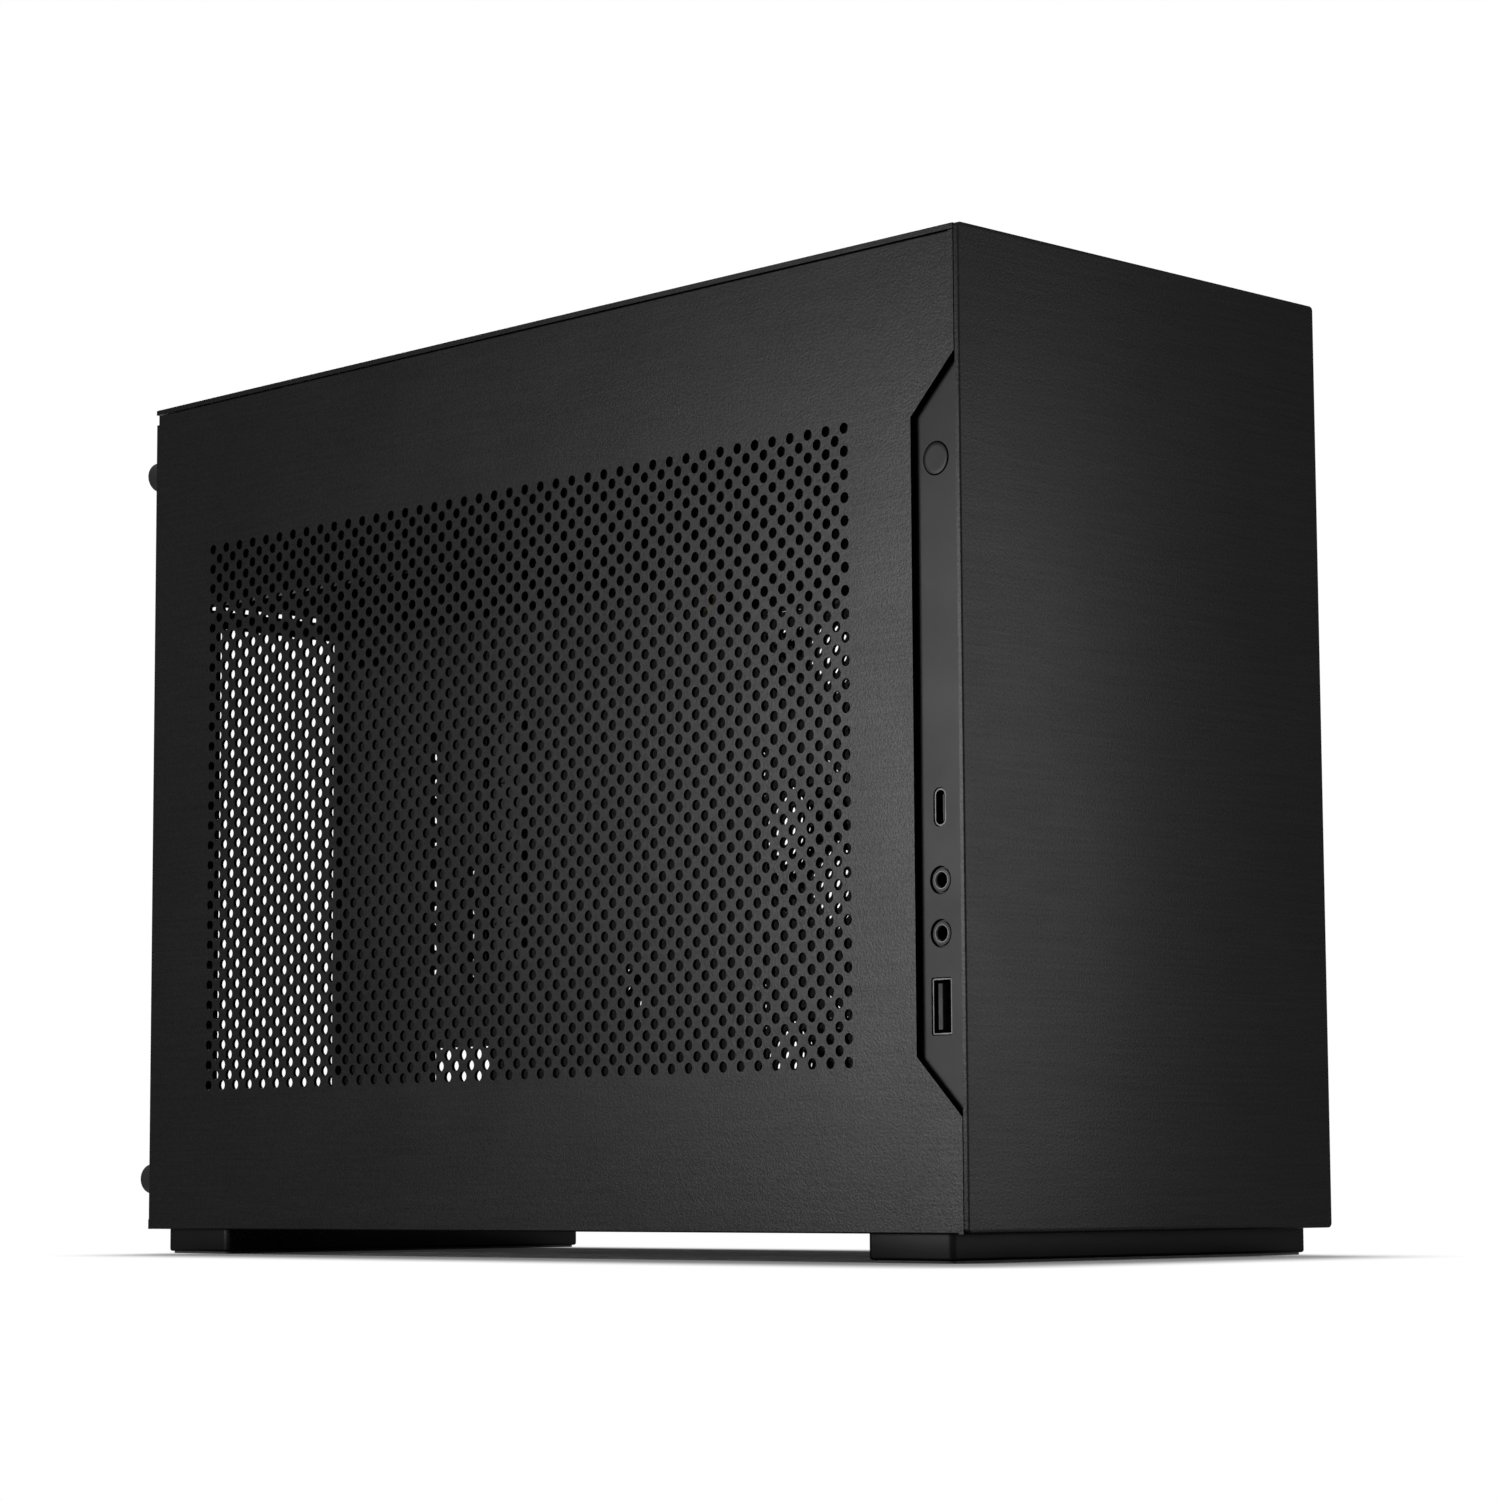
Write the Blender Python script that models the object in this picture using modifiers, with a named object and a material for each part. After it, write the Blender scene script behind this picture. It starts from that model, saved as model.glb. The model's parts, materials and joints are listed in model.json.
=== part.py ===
# Mini ITX computer case with two chambers: folded steel frame inside, aluminium skins outside.
# Metres. +Z up, front panel towards -Y, side with the front sockets towards -X, standing on the floor at Z = 0.
import bmesh
import bpy
from math import cos, pi, radians, sin
from mathutils import Matrix

# Body
body_width = 0.140
body_depth = 0.326
body_height = 0.244
foot_height = 0.007
skin = 0.0015
soft_edge = 0.0004
sheet = 0.0012
gap = 0.0003

# Side panels
lip_depth = 0.008
return_depth = 0.014
panel_relief = 0.004
flange_gap_low = 0.030
flange_gap_high = body_height - 0.056
notch_top = body_height - 0.0315
notch_bottom = 0.0276
notch_depth = 0.0146
notch_chamfer = 0.0147

# Perforation, drawn coarser than the real sheet's small holes and with the same open share
hole_column_pitch = 0.0174
hole_row_pitch = 0.0290
hole_radius = 0.0076
field_front = 0.038
field_rear = body_depth - 0.027
field_bottom = 0.0405
field_top = body_height - 0.0435
top_field_margin_x = 0.018
top_field_margin_y = 0.030

# Frame
frame_relief = 0.0103
frame_flange = 0.0118
socket_flange = 0.0165
base_flange = 0.012
base_vent_count = 9
base_vent_pitch = (body_depth - 0.119) / base_vent_count
base_vent_x = body_width / 4 - 0.001
base_vent_length = body_width / 2 - 0.026
base_vent_width = base_vent_pitch - 0.013
bracket_wall = 0.0575
bracket_notch_room = 0.010
bracket_rim = 0.004
fan_pitch = body_depth / 2 - 0.038
radiator_opening_x = body_width / 2 - 0.021
radiator_opening_y = fan_pitch / 2 - 0.0065
radiator_opening_round = 0.014
fan_hole_reach = fan_pitch / 2 - 0.010
fan_slot_x = body_width / 2 - 0.0165
fan_slot_width = 0.0036
fan_slot_length = 0.012
front_opening_half = body_width / 2 - 0.019
front_bridge_level = body_height / 2 - 0.005
front_bridge_height = 0.010
front_opening_margin = 0.026
stud_inset_side = 0.014
stud_inset_end = 0.020
stud_radius = 0.002
stud_length = 0.007
spacer_radius = 0.0025
spacer_x = body_width / 2 - 0.016
spacer_y = body_depth / 2 - 0.018
screw_radius = 0.0015
screw_clearance = 0.0003
screw_head_radius = 0.003
screw_head_height = 0.002
screw_length = 0.006

# Rear wall
io_side_margin = 0.02235
tray_to_io = 0.0035
io_width = body_width / 2 - io_side_margin - 0.0032
io_bottom = 0.021
io_height = body_height - 0.08525
slot_above_level = io_bottom + io_height + 0.00525
slot_above_height = 0.0014
slot_above_margin = 0.004
inlet_width = 0.028
inlet_height = 0.024
inlet_top = 0.058
inlet_centre_x = body_width / 2 - 0.0195
shelf_level = 0.0602
shelf_depth = 0.0118
shelf_side_margin = 0.001
slot_screw_share = 0.6
cover_gap_side = 0.0001
cover_foot_room = 0.0024
vent_bottom = body_height - 0.040
vent_top = body_height - 0.016
vent_count = 9
vent_pitch = (body_width - 0.0725) / vent_count
vent_width = vent_pitch * 2 / 3
vent_first_x = 0.0175 - body_width / 2

# Expansion slots
slot_count = 3
slot_pitch = (body_width / 2 - 0.00904) / slot_count
slot_first_x = slot_pitch / 2 + 0.00574
cover_width = slot_pitch - 0.0019
cover_height = body_height - 0.124
cover_sheet = 0.0010
cover_window_width = cover_width - 0.00802
cover_window_bottom = 0.074
cover_window_top = body_height - 0.089
cover_bridge_level = (cover_window_bottom + cover_window_top) / 2 + 0.001
cover_bridge_height = 0.006
slot_opening_width = cover_width - 0.00402
slot_opening_top = body_height - 0.072

# Motherboard tray and standoffs
tray_face_x = 0.0003
tray_reach = body_depth - 0.147
tray_top = body_height - 0.063
tray_flange = 0.008
tray_rear_flange = 0.0049
tray_relief = 0.006
# Each tray opening, in shares of the tray: nearest and furthest from the rear, lowest and highest level
tray_openings = (
    (0.3911, 0.4944, 0.4309, 0.8287),
    (0.2514, 0.2693, 0.3923, 0.8177),
    (0.3503, 0.3682, 0.3978, 0.5856),
    (0.2542, 0.4050, 0.0884, 0.2928),
    (0.7263, 0.7765, 0.3204, 0.4033),
)

# Divider ahead of the tray
divider_flange = 0.008
divider_top_margin = 0.012
divider_hole_margin = 0.010

# Standoffs
standoff_across = 0.006
standoff_height = 0.00635
board_hole_rear = 0.0118
board_hole_spacing_y = tray_reach - 0.02152
board_hole_spacing_z = io_height - 0.00381
board_hole_bottom = 0.0190

# Power supply bracket
psu_behind_foot = -0.0017
psu_right_x = -0.0020
psu_top = body_height - 0.044
psu_side_flange = 0.010
psu_foot_flange = 0.008
psu_opening_width = body_width / 2 - 0.019
psu_opening_height = psu_top - 0.088
psu_hole_margin_z = 0.006
psu_hole_margin_x = 0.0035
psu_hole_radius = 0.0018
psu_opening_bottom = 0.040

# Front sockets, measured from the front and from the body's underside
socket_depth = 0.0097
button_level = notch_top - 0.0254
button_radius = 0.0040
button_travel = 0.0010
button_proud = 0.0002
button_behind = 0.0008
usb_c_level = 0.1020
usb_c_length = 0.0090
usb_c_width = 0.0036
headphone_level = 0.0844
microphone_level = 0.0716
jack_radius = 0.0032
jack_bore_radius = 0.0020
usb_a_level = 0.0541
usb_a_length = 0.0134
usb_a_width = 0.0062
socket_wall = 0.0004
strip_sheet = 0.0015
strip_bottom = 0.024
strip_top = notch_top + 0.0055
strip_width = 0.0180
socket_length = 0.0125
board_sheet = 0.0016
board_margin = 0.012
board_front_clearance = 0.001
board_reach = 0.0075
frame_hole_clearance = 0.0008
switch_plunger_radius = 0.0015
switch_play = 0.0001
switch_half = 0.0064
switch_depth = 0.0048
tongue_share = 0.72
tongue_setback = 0.0005
tongue_thickness_share = 0.22
usb_a_tongue_shift_share = 0.20
jack_wall = 0.0030

# Thumbscrews
thumb_inset = 0.007
thumb_low_level = 0.01465
thumb_high_level = body_height - 0.0187
thumb_radius = 0.0045
thumb_length = 0.0080
thumb_shank_radius = 0.0017
thumb_shank_length = 0.0105
thumb_clearance = 0.0004

# Feet
foot_inset_side = 0.002
foot_inset_end = 0.007
foot_depth = 0.0285
foot_round = 0.0018
foot_rim = 0.0006
sole_margin = 0.0035
sole_height = 0.0009
foot_post_radius = 0.006
foot_post_x = body_width / 2 - 0.022

# Riser
riser_level = tray_top - 0.0048
riser_x = 0.0095
riser_from_rear = tray_reach - 0.043
riser_length = tray_reach - 0.090
riser_plate_height = 0.020
riser_plate_margin = 0.006
riser_board_margin = 0.002
riser_slot_margin = 0.0025
riser_key_from_end = 0.0145
riser_key_width = 0.0018
riser_relief = 0.002
riser_width = 0.0076
riser_height = 0.011
riser_slot_width = 0.002
riser_slot_depth = 0.008
riser_flange = 0.0125

# Places that follow from the sizes
left = -body_width / 2
rear_reach = max(shelf_depth - skin - gap, thumb_length)
middle_y = -rear_reach / 2
front = middle_y - body_depth / 2
rear = middle_y + body_depth / 2
bottom = foot_height
top = bottom + body_height
frame_half = body_width / 2 - skin - gap
frame_front = front + skin + gap
frame_rear = rear - skin - gap
frame_bottom = bottom + skin + gap
panel_top = top - skin - gap
frame_top = panel_top - skin - gap
inner_front = frame_front + sheet + gap
inner_rear = frame_rear - sheet - gap
inner_half = frame_half - sheet - gap
floor_inside = frame_bottom + sheet + gap
io_right = tray_face_x - tray_to_io
socket_y = front + socket_depth
strip_face = left + skin + gap
strip_back = strip_face + strip_sheet
front_frame_left = strip_back + gap
tray_front_y = rear - tray_reach
psu_plane_y = front + foot_inset_end + foot_depth + psu_behind_foot

# Turns that point a flat sheet's outer face each way
facings = {
    "front": (radians(90), 0, 0),
    "rear": (radians(90), 0, radians(180)),
    "left": (radians(90), 0, radians(-90)),
    "right": (radians(90), 0, radians(90)),
    "top": (0, 0, 0),
    "bottom": (radians(180), 0, 0),
}


def clear_scene():
    for thing in list(bpy.data.objects):
        bpy.data.objects.remove(thing, do_unlink=True)


def new_collection(name):
    collection = bpy.data.collections.new(name)
    bpy.context.scene.collection.children.link(collection)
    return collection


def make_finish(name, colour, roughness, metallic):
    finish = bpy.data.materials.new(name)
    finish.use_nodes = True
    shader = finish.node_tree.nodes["Principled BSDF"]
    shader.inputs["Base Color"].default_value = (*colour, 1)
    shader.inputs["Roughness"].default_value = roughness
    shader.inputs["Metallic"].default_value = metallic
    return finish


def add_object(name, bm, finish, location=(0, 0, 0), rotation=(0, 0, 0)):
    mesh = bpy.data.meshes.new(name)
    bm.to_mesh(mesh)
    bm.free()
    thing = bpy.data.objects.new(name, mesh)
    thing.location = location
    thing.rotation_euler = rotation
    mesh.materials.append(finish)
    case.objects.link(thing)
    return thing


def folded_sheet(name, facing, centre, width, height, thickness, folds, relief, finish):
    """A flat sheet whose edges are folded back (positive) or outwards (negative)."""
    columns = (-width / 2, -width / 2 + relief, width / 2 - relief, width / 2)
    rows = (-height / 2, -height / 2 + relief, height / 2 - relief, height / 2)
    bm = bmesh.new()
    bmesh.ops.create_grid(bm, x_segments=3, y_segments=3, size=0.5)
    for vert in bm.verts:
        column = round((vert.co.x + 0.5) * 3)
        row = round((vert.co.y + 0.5) * 3)
        vert.co = (columns[column], rows[row], 0)
    sides = {
        "low_x": (0, columns[0], rows),
        "high_x": (0, columns[3], rows),
        "low_y": (1, rows[0], columns),
        "high_y": (1, rows[3], columns),
    }
    for side, depth in folds.items():
        axis, place, along = sides[side]
        folded = []
        for edge in bm.edges:
            ends = [vert.co for vert in edge.verts]
            on_side = all(abs(end[axis] - place) < 1e-6 and abs(end.z) < 1e-6 for end in ends)
            centre_along = (ends[0][1 - axis] + ends[1][1 - axis]) / 2
            if on_side and along[1] < centre_along < along[2]:
                folded.append(edge)
        result = bmesh.ops.extrude_edge_only(bm, edges=folded)
        moved = [item for item in result["geom"] if isinstance(item, bmesh.types.BMVert)]
        bmesh.ops.translate(bm, verts=moved, vec=(0, 0, -depth))
    bmesh.ops.recalc_face_normals(bm, faces=bm.faces)
    flat = next(face for face in bm.faces if all(abs(vert.co.z) < 1e-6 for vert in face.verts))
    if flat.normal.z < 0:
        bmesh.ops.reverse_faces(bm, faces=bm.faces)
    thing = add_object(name, bm, finish, centre, facings[facing])
    solid = thing.modifiers.new("thickness", "SOLIDIFY")
    solid.thickness = thickness
    solid.offset = -1
    solid.solidify_mode = "NON_MANIFOLD"
    solid.nonmanifold_thickness_mode = "CONSTRAINTS"
    solid.nonmanifold_merge_threshold = 0.00001
    return thing


def soften(thing, width, segments=1, angle=40):
    bevel = thing.modifiers.new("soft_edges", "BEVEL")
    bevel.width = width
    bevel.segments = segments
    bevel.limit_method = "ANGLE"
    bevel.angle_limit = radians(angle)


def combine(target, tool, operation="DIFFERENCE"):
    boolean = target.modifiers.new(operation.lower(), "BOOLEAN")
    boolean.operation = operation
    boolean.object = tool
    boolean.solver = "EXACT"


def box_between(bm, low, high):
    size = [high[i] - low[i] for i in range(3)]
    middle = [(high[i] + low[i]) / 2 for i in range(3)]
    placed = Matrix.Translation(middle) @ Matrix.Diagonal((*size, 1))
    return bmesh.ops.create_cube(bm, size=1, matrix=placed)["verts"]


def axis_turn(axis):
    return {"x": Matrix.Rotation(radians(90), 4, "Y"), "y": Matrix.Rotation(radians(-90), 4, "X"),
            "z": Matrix.Identity(4)}[axis]


def round_bar(bm, centre, axis, radius, length, sides=16, radius_end=None):
    placed = Matrix.Translation(centre) @ axis_turn(axis)
    end = radius if radius_end is None else radius_end
    bmesh.ops.create_cone(bm, cap_ends=True, segments=sides, radius1=radius, radius2=end,
                          depth=length, matrix=placed)


def cut(target, bm, name=None):
    mesh = bpy.data.meshes.new((name or target.name) + "_cutter")
    bm.to_mesh(mesh)
    bm.free()
    tool = bpy.data.objects.new(mesh.name, mesh)
    tool.hide_render = True
    tool.display_type = "WIRE"
    cutters.objects.link(tool)
    combine(target, tool)


def join_on(target, bm, name):
    mesh = bpy.data.meshes.new(name)
    bm.to_mesh(mesh)
    bm.free()
    tool = bpy.data.objects.new(name, mesh)
    tool.hide_render = True
    tool.display_type = "WIRE"
    cutters.objects.link(tool)
    combine(target, tool, "UNION")


def hole_centres(low_u, high_u, low_v, high_v):
    """Staggered rows: every second column is shifted by half a row."""
    columns = int((high_u - low_u - 2 * hole_radius) / hole_column_pitch) + 1
    start = (low_u + high_u - (columns - 1) * hole_column_pitch) / 2
    for column in range(columns):
        shift = hole_row_pitch / 2 * (column % 2)
        v = low_v + hole_radius + shift
        while v + hole_radius <= high_v:
            yield start + column * hole_column_pitch, v
            v += hole_row_pitch


def perforate(bm, axis, level, centres):
    for u, v in centres:
        place = {"x": (level, u, v), "z": (u, v, level)}[axis]
        placed = Matrix.Translation(place) @ axis_turn(axis)
        bmesh.ops.create_cone(bm, cap_ends=True, segments=6, radius1=hole_radius,
                              radius2=hole_radius, depth=4 * skin, matrix=placed)


def side_panel(name, facing):
    side = -1 if facing == "left" else 1
    outer = side * body_width / 2
    width = rear - frame_front
    height = panel_top - bottom
    rear_edge = "low_x" if facing == "left" else "high_x"
    folds = {"low_y": lip_depth, "high_y": lip_depth, rear_edge: return_depth}
    centre = (outer, (rear + frame_front) / 2, (bottom + panel_top) / 2)
    panel = folded_sheet(name, facing, centre, width, height, skin, folds, panel_relief, anodised)
    soften(panel, soft_edge)
    bm = bmesh.new()
    perforate(bm, "x", outer, hole_centres(front + field_front, front + field_rear,
                                           bottom + field_bottom, bottom + field_top))
    for level in (thumb_low_level, thumb_high_level):
        round_bar(bm, (side * (body_width / 2 - thumb_inset), rear, bottom + level), "y",
                  thumb_shank_radius + thumb_clearance, 4 * skin)
    if facing == "right":
        box_between(bm, (outer - skin - return_depth - gap, frame_rear, bottom + flange_gap_low),
                    (outer - skin, rear + skin, bottom + flange_gap_high))
    if facing == "left":
        reach = 0.010
        low = (outer - reach, frame_front - reach, bottom + notch_bottom - reach)
        high = (outer + reach, frame_front + notch_depth, bottom + notch_top + reach)
        verts = box_between(bm, low, high)
        corners = [edge for edge in bm.edges if all(vert in verts for vert in edge.verts)
                   and all(abs(vert.co.y - high[1]) < 1e-6 for vert in edge.verts)
                   and abs(edge.verts[0].co.z - edge.verts[1].co.z) < 1e-6]
        bmesh.ops.bevel(bm, geom=corners, offset=notch_chamfer + reach, segments=1, profile=0.5,
                        affect="EDGES", material=-1)
    cut(panel, bm)
    return panel


def front_panel():
    bm = bmesh.new()
    box_between(bm, (left, front, bottom), (-left, front + skin, top))
    upright = [edge for edge in bm.edges if abs(edge.verts[0].co.y - edge.verts[1].co.y) > skin / 2]
    bmesh.ops.bevel(bm, geom=upright, offset=2 * soft_edge, segments=2, profile=0.5,
                    affect="EDGES", material=-1)
    panel = add_object("front_panel", bm, anodised)
    soften(panel, soft_edge)
    return panel


def front_studs():
    return [(x, z) for x in (left + stud_inset_side, -left - stud_inset_side)
            for z in (bottom + stud_inset_end, top - stud_inset_end)]


def top_spacers():
    return [(x, middle_y + y) for x in (-spacer_x, spacer_x) for y in (-spacer_y, 0, spacer_y)]


def front_stud(number, x, z):
    """Round stud behind the front panel, waisted where the frame's clip grips it."""
    bm = bmesh.new()
    profile = [(0, stud_length), (stud_radius * 0.6, stud_length), (stud_radius, stud_length * 0.82),
               (stud_radius * 0.65, stud_length * 0.62), (stud_radius, stud_length * 0.42),
               (stud_radius, gap), (0, gap)]
    turn_profile(bm, profile)
    stud = add_object("front_stud_" + str(number), bm, bare_steel, (x, front + skin, z),
                      (radians(-90), 0, 0))
    spin_profile(stud, 10)
    return stud


def top_spacer(number, x, y):
    low, high = frame_top + gap, top - skin - gap
    bm = bmesh.new()
    round_bar(bm, (0, 0, 0), "z", spacer_radius, high - low, 10)
    return add_object("top_spacer_" + str(number), bm, bare_steel, (x, y, (low + high) / 2))


def top_panel():
    bm = bmesh.new()
    box_between(bm, (left, frame_front, top - skin), (-left, rear, top))
    panel = add_object("top_panel", bm, anodised)
    soften(panel, soft_edge)
    holes = bmesh.new()
    perforate(holes, "z", top, hole_centres(left + top_field_margin_x, -left - top_field_margin_x,
                                            front + top_field_margin_y, rear - top_field_margin_y))
    cut(panel, holes)
    return panel


def base_frame():
    folds = {"low_x": base_flange, "high_x": base_flange}
    centre = (0, (inner_front + inner_rear) / 2, frame_bottom)
    frame = folded_sheet("base_frame", "bottom", centre, 2 * frame_half, inner_rear - inner_front,
                         sheet, folds, frame_relief, steel)
    bm = bmesh.new()
    low, high = frame_bottom - sheet, frame_bottom + 2 * sheet
    for side in (-1, 1):
        for count in range(base_vent_count):
            y = middle_y + (count - (base_vent_count - 1) / 2) * base_vent_pitch
            x = side * base_vent_x
            box_between(bm, (x - base_vent_length / 2, y - base_vent_width / 2, low),
                        (x + base_vent_length / 2, y + base_vent_width / 2, high))
    for x, y in foot_posts():
        round_bar(bm, (x, y, frame_bottom), "z", screw_radius + screw_clearance, 4 * sheet, 10)
    cut(frame, bm)
    return frame


def front_frame():
    width = frame_half - front_frame_left
    centre = ((frame_half + front_frame_left) / 2, frame_front, (frame_top + frame_bottom) / 2)
    folds = {"low_x": socket_flange, "high_x": frame_flange}
    frame = folded_sheet("front_frame", "front", centre, width, frame_top - frame_bottom,
                         sheet, folds, frame_relief, steel)
    bm = bmesh.new()
    low, high = frame_front - sheet, frame_front + 2 * sheet
    bridge_low = front_bridge_level - front_bridge_height / 2
    bridge_high = front_bridge_level + front_bridge_height / 2
    for z_low, z_high in ((front_opening_margin, bridge_low),
                          (bridge_high, body_height - front_opening_margin)):
        box_between(bm, (-front_opening_half, low, bottom + z_low), (front_opening_half, high, bottom + z_high))
    for x, z in front_studs():
        round_bar(bm, (x, frame_front, z), "y", stud_radius + screw_clearance, 4 * sheet, 10)
    socket_holes(bm, front_frame_left + sheet / 2, 4 * sheet, frame_hole_clearance)
    cut(frame, bm)
    return frame


def rear_frame():
    centre = (0, frame_rear, (frame_top + frame_bottom) / 2)
    folds = {"low_x": frame_flange, "high_x": frame_flange}
    frame = folded_sheet("rear_frame", "rear", centre, 2 * frame_half, frame_top - frame_bottom,
                         sheet, folds, frame_relief, steel)
    shelf = bmesh.new()
    box_between(shelf, (slots_low() - shelf_side_margin, frame_rear - sheet, bottom + shelf_level - sheet),
                (slots_high() + shelf_side_margin, frame_rear + shelf_depth, bottom + shelf_level))
    join_on(frame, shelf, "slot_shelf")
    bm = bmesh.new()
    low, high = frame_rear - 2 * sheet, frame_rear + sheet
    box_between(bm, (io_right - io_width, low, bottom + io_bottom),
                (io_right, high, bottom + io_bottom + io_height))
    box_between(bm, (inlet_centre_x - inlet_width / 2, low, bottom + inlet_top - inlet_height),
                (inlet_centre_x + inlet_width / 2, high, bottom + inlet_top))
    box_between(bm, (slots_low() + cover_gap_side, low, bottom + shelf_level),
                (slots_high() - cover_gap_side, high, bottom + shelf_level + cover_foot_room))
    for x in slot_centres():
        round_bar(bm, (x, frame_rear + shelf_depth * slot_screw_share, bottom + shelf_level), "z",
                  screw_radius + screw_clearance, 4 * sheet, 10)
    box_between(bm, (io_right - io_width - slot_above_margin, low, bottom + slot_above_level),
                (io_right - slot_above_margin, high, bottom + slot_above_level + slot_above_height))
    for count in range(vent_count):
        x = vent_first_x + count * vent_pitch
        box_between(bm, (x - vent_width / 2, low, bottom + vent_bottom),
                    (x + vent_width / 2, high, bottom + vent_top))
    for side in (-1, 1):
        for level in (thumb_low_level, thumb_high_level):
            round_bar(bm, (side * (body_width / 2 - thumb_inset), frame_rear, bottom + level), "y",
                      thumb_shank_radius + thumb_clearance, 4 * sheet)
    cut(frame, bm)
    windows = bmesh.new()
    for x in slot_centres():
        box_between(windows, (x - slot_opening_width / 2, low, bottom + shelf_level + cover_foot_room / 2),
                    (x + slot_opening_width / 2, high, bottom + slot_opening_top))
    cut(frame, windows, "slot_windows")
    return frame


def radiator_bracket():
    centre = (0, (inner_front + inner_rear) / 2, frame_top)
    folds = {"low_x": bracket_wall, "high_x": bracket_wall}
    frame = folded_sheet("radiator_bracket", "top", centre, 2 * frame_half, inner_rear - inner_front,
                         sheet, folds, frame_relief, steel)
    level = frame_top - bracket_wall
    rims = bmesh.new()
    for side, y_low in ((-1, psu_plane_y + frame_relief), (1, inner_front + frame_relief)):
        low_x, high_x = sorted((side * (frame_half - sheet / 2), side * (frame_half - sheet - bracket_rim)))
        box_between(rims, (low_x, y_low, level), (high_x, inner_rear - frame_relief, level + sheet))
    join_on(frame, rims, "bracket_rims")
    bm = bmesh.new()
    low, high = frame_top - 2 * sheet, frame_top + sheet
    for middle in (middle_y - fan_pitch / 2, middle_y + fan_pitch / 2):
        verts = box_between(bm, (-radiator_opening_x, middle - radiator_opening_y, low),
                            (radiator_opening_x, middle + radiator_opening_y, high))
        corners = [edge for edge in bm.edges if all(vert in verts for vert in edge.verts)
                   and abs(edge.verts[0].co.z - edge.verts[1].co.z) > sheet]
        bmesh.ops.bevel(bm, geom=corners, offset=radiator_opening_round, segments=2, profile=0.5, affect="EDGES", material=-1)
        for side in (-1, 1):
            for y in (middle - fan_hole_reach, middle + fan_hole_reach):
                box_between(bm, (side * fan_slot_x - fan_slot_width / 2, y - fan_slot_length / 2, low),
                            (side * fan_slot_x + fan_slot_width / 2, y + fan_slot_length / 2, high))
    box_between(bm, (-frame_half - sheet, inner_front, top - bracket_wall - bracket_notch_room),
                (-frame_half + 2 * sheet, frame_front + strip_width + gap, bottom + strip_top + gap))
    cut(frame, bm)
    return frame


def motherboard_tray():
    width = inner_rear - tray_front_y
    height = bottom + tray_top - floor_inside
    centre = (tray_face_x, (inner_rear + tray_front_y) / 2, (bottom + tray_top + floor_inside) / 2)
    folds = {"low_x": tray_rear_flange, "high_x": tray_flange, "low_y": tray_flange, "high_y": tray_flange}
    tray = folded_sheet("motherboard_tray", "left", centre, width, height, sheet, folds,
                        tray_relief, steel)
    bm = bmesh.new()
    low, high = tray_face_x - sheet, tray_face_x + 2 * sheet
    for behind, ahead, z_low, z_high in tray_openings:
        box_between(bm, (low, rear - ahead * tray_reach, bottom + z_low * tray_top),
                    (high, rear - behind * tray_reach, bottom + z_high * tray_top))
    for y, z in board_holes():
        round_bar(bm, (tray_face_x, y, z), "x", screw_radius + screw_clearance, 4 * sheet, 10)
    cut(tray, bm)
    return tray


def bay_divider():
    low_y = psu_plane_y + psu_side_flange + gap
    high_y = tray_front_y - gap
    low_z = floor_inside
    high_z = bottom + tray_top - divider_top_margin
    centre = (tray_face_x, (low_y + high_y) / 2, (low_z + high_z) / 2)
    divider = folded_sheet("bay_divider", "left", centre, high_y - low_y, high_z - low_z, sheet,
                           {"low_y": divider_flange}, tray_relief, steel)
    bm = bmesh.new()
    perforate(bm, "x", tray_face_x, hole_centres(low_y + divider_hole_margin, high_y - divider_hole_margin,
                                                 low_z + divider_hole_margin, high_z - divider_hole_margin))
    cut(divider, bm)
    return divider


def psu_bracket():
    low_x = -inner_half
    width = psu_right_x - low_x
    height = bottom + psu_top - floor_inside
    centre = ((low_x + psu_right_x) / 2, psu_plane_y, (bottom + psu_top + floor_inside) / 2)
    bracket = folded_sheet("psu_bracket", "rear", centre, width, height, sheet,
                           {"high_x": psu_side_flange, "low_y": psu_foot_flange}, tray_relief, steel)
    bm = bmesh.new()
    low, high = psu_plane_y - 2 * sheet, psu_plane_y + sheet
    middle = centre[0]
    box_between(bm, (middle - psu_opening_width / 2, low, bottom + psu_opening_bottom),
                (middle + psu_opening_width / 2, high, bottom + psu_opening_bottom + psu_opening_height))
    for side in (-1, 1):
        x = middle + side * (psu_opening_width / 2 + psu_hole_margin_x)
        for z in (psu_opening_bottom + psu_hole_margin_z,
                  psu_opening_bottom + psu_opening_height - psu_hole_margin_z):
            round_bar(bm, (x, psu_plane_y, bottom + z), "y", psu_hole_radius, 4 * sheet, 10)
    cut(bracket, bm)
    return bracket


def socket_holes(bm, x, length, clearance):
    """Round and oblong holes for the button and the four sockets, along X."""
    round_bar(bm, (x, socket_y, bottom + button_level), "x", button_radius + clearance, length, 20)
    for level in (headphone_level, microphone_level):
        round_bar(bm, (x, socket_y, bottom + level), "x", jack_radius + clearance, length, 20)
    for level, long_side, wide in ((usb_c_level, usb_c_length, usb_c_width),
                                   (usb_a_level, usb_a_length, usb_a_width)):
        half_long, half_wide = long_side / 2 + clearance, wide / 2 + clearance
        box_between(bm, (x - length / 2, socket_y - half_wide, bottom + level - half_long),
                    (x + length / 2, socket_y + half_wide, bottom + level + half_long))


def io_strip():
    bm = bmesh.new()
    box_between(bm, (strip_face, frame_front, bottom + strip_bottom),
                (strip_back, frame_front + strip_width, bottom + strip_top))
    strip = add_object("io_strip", bm, satin_black)
    holes = bmesh.new()
    socket_holes(holes, (strip_face + strip_back) / 2, 4 * strip_sheet, gap)
    cut(strip, holes)
    return strip


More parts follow.
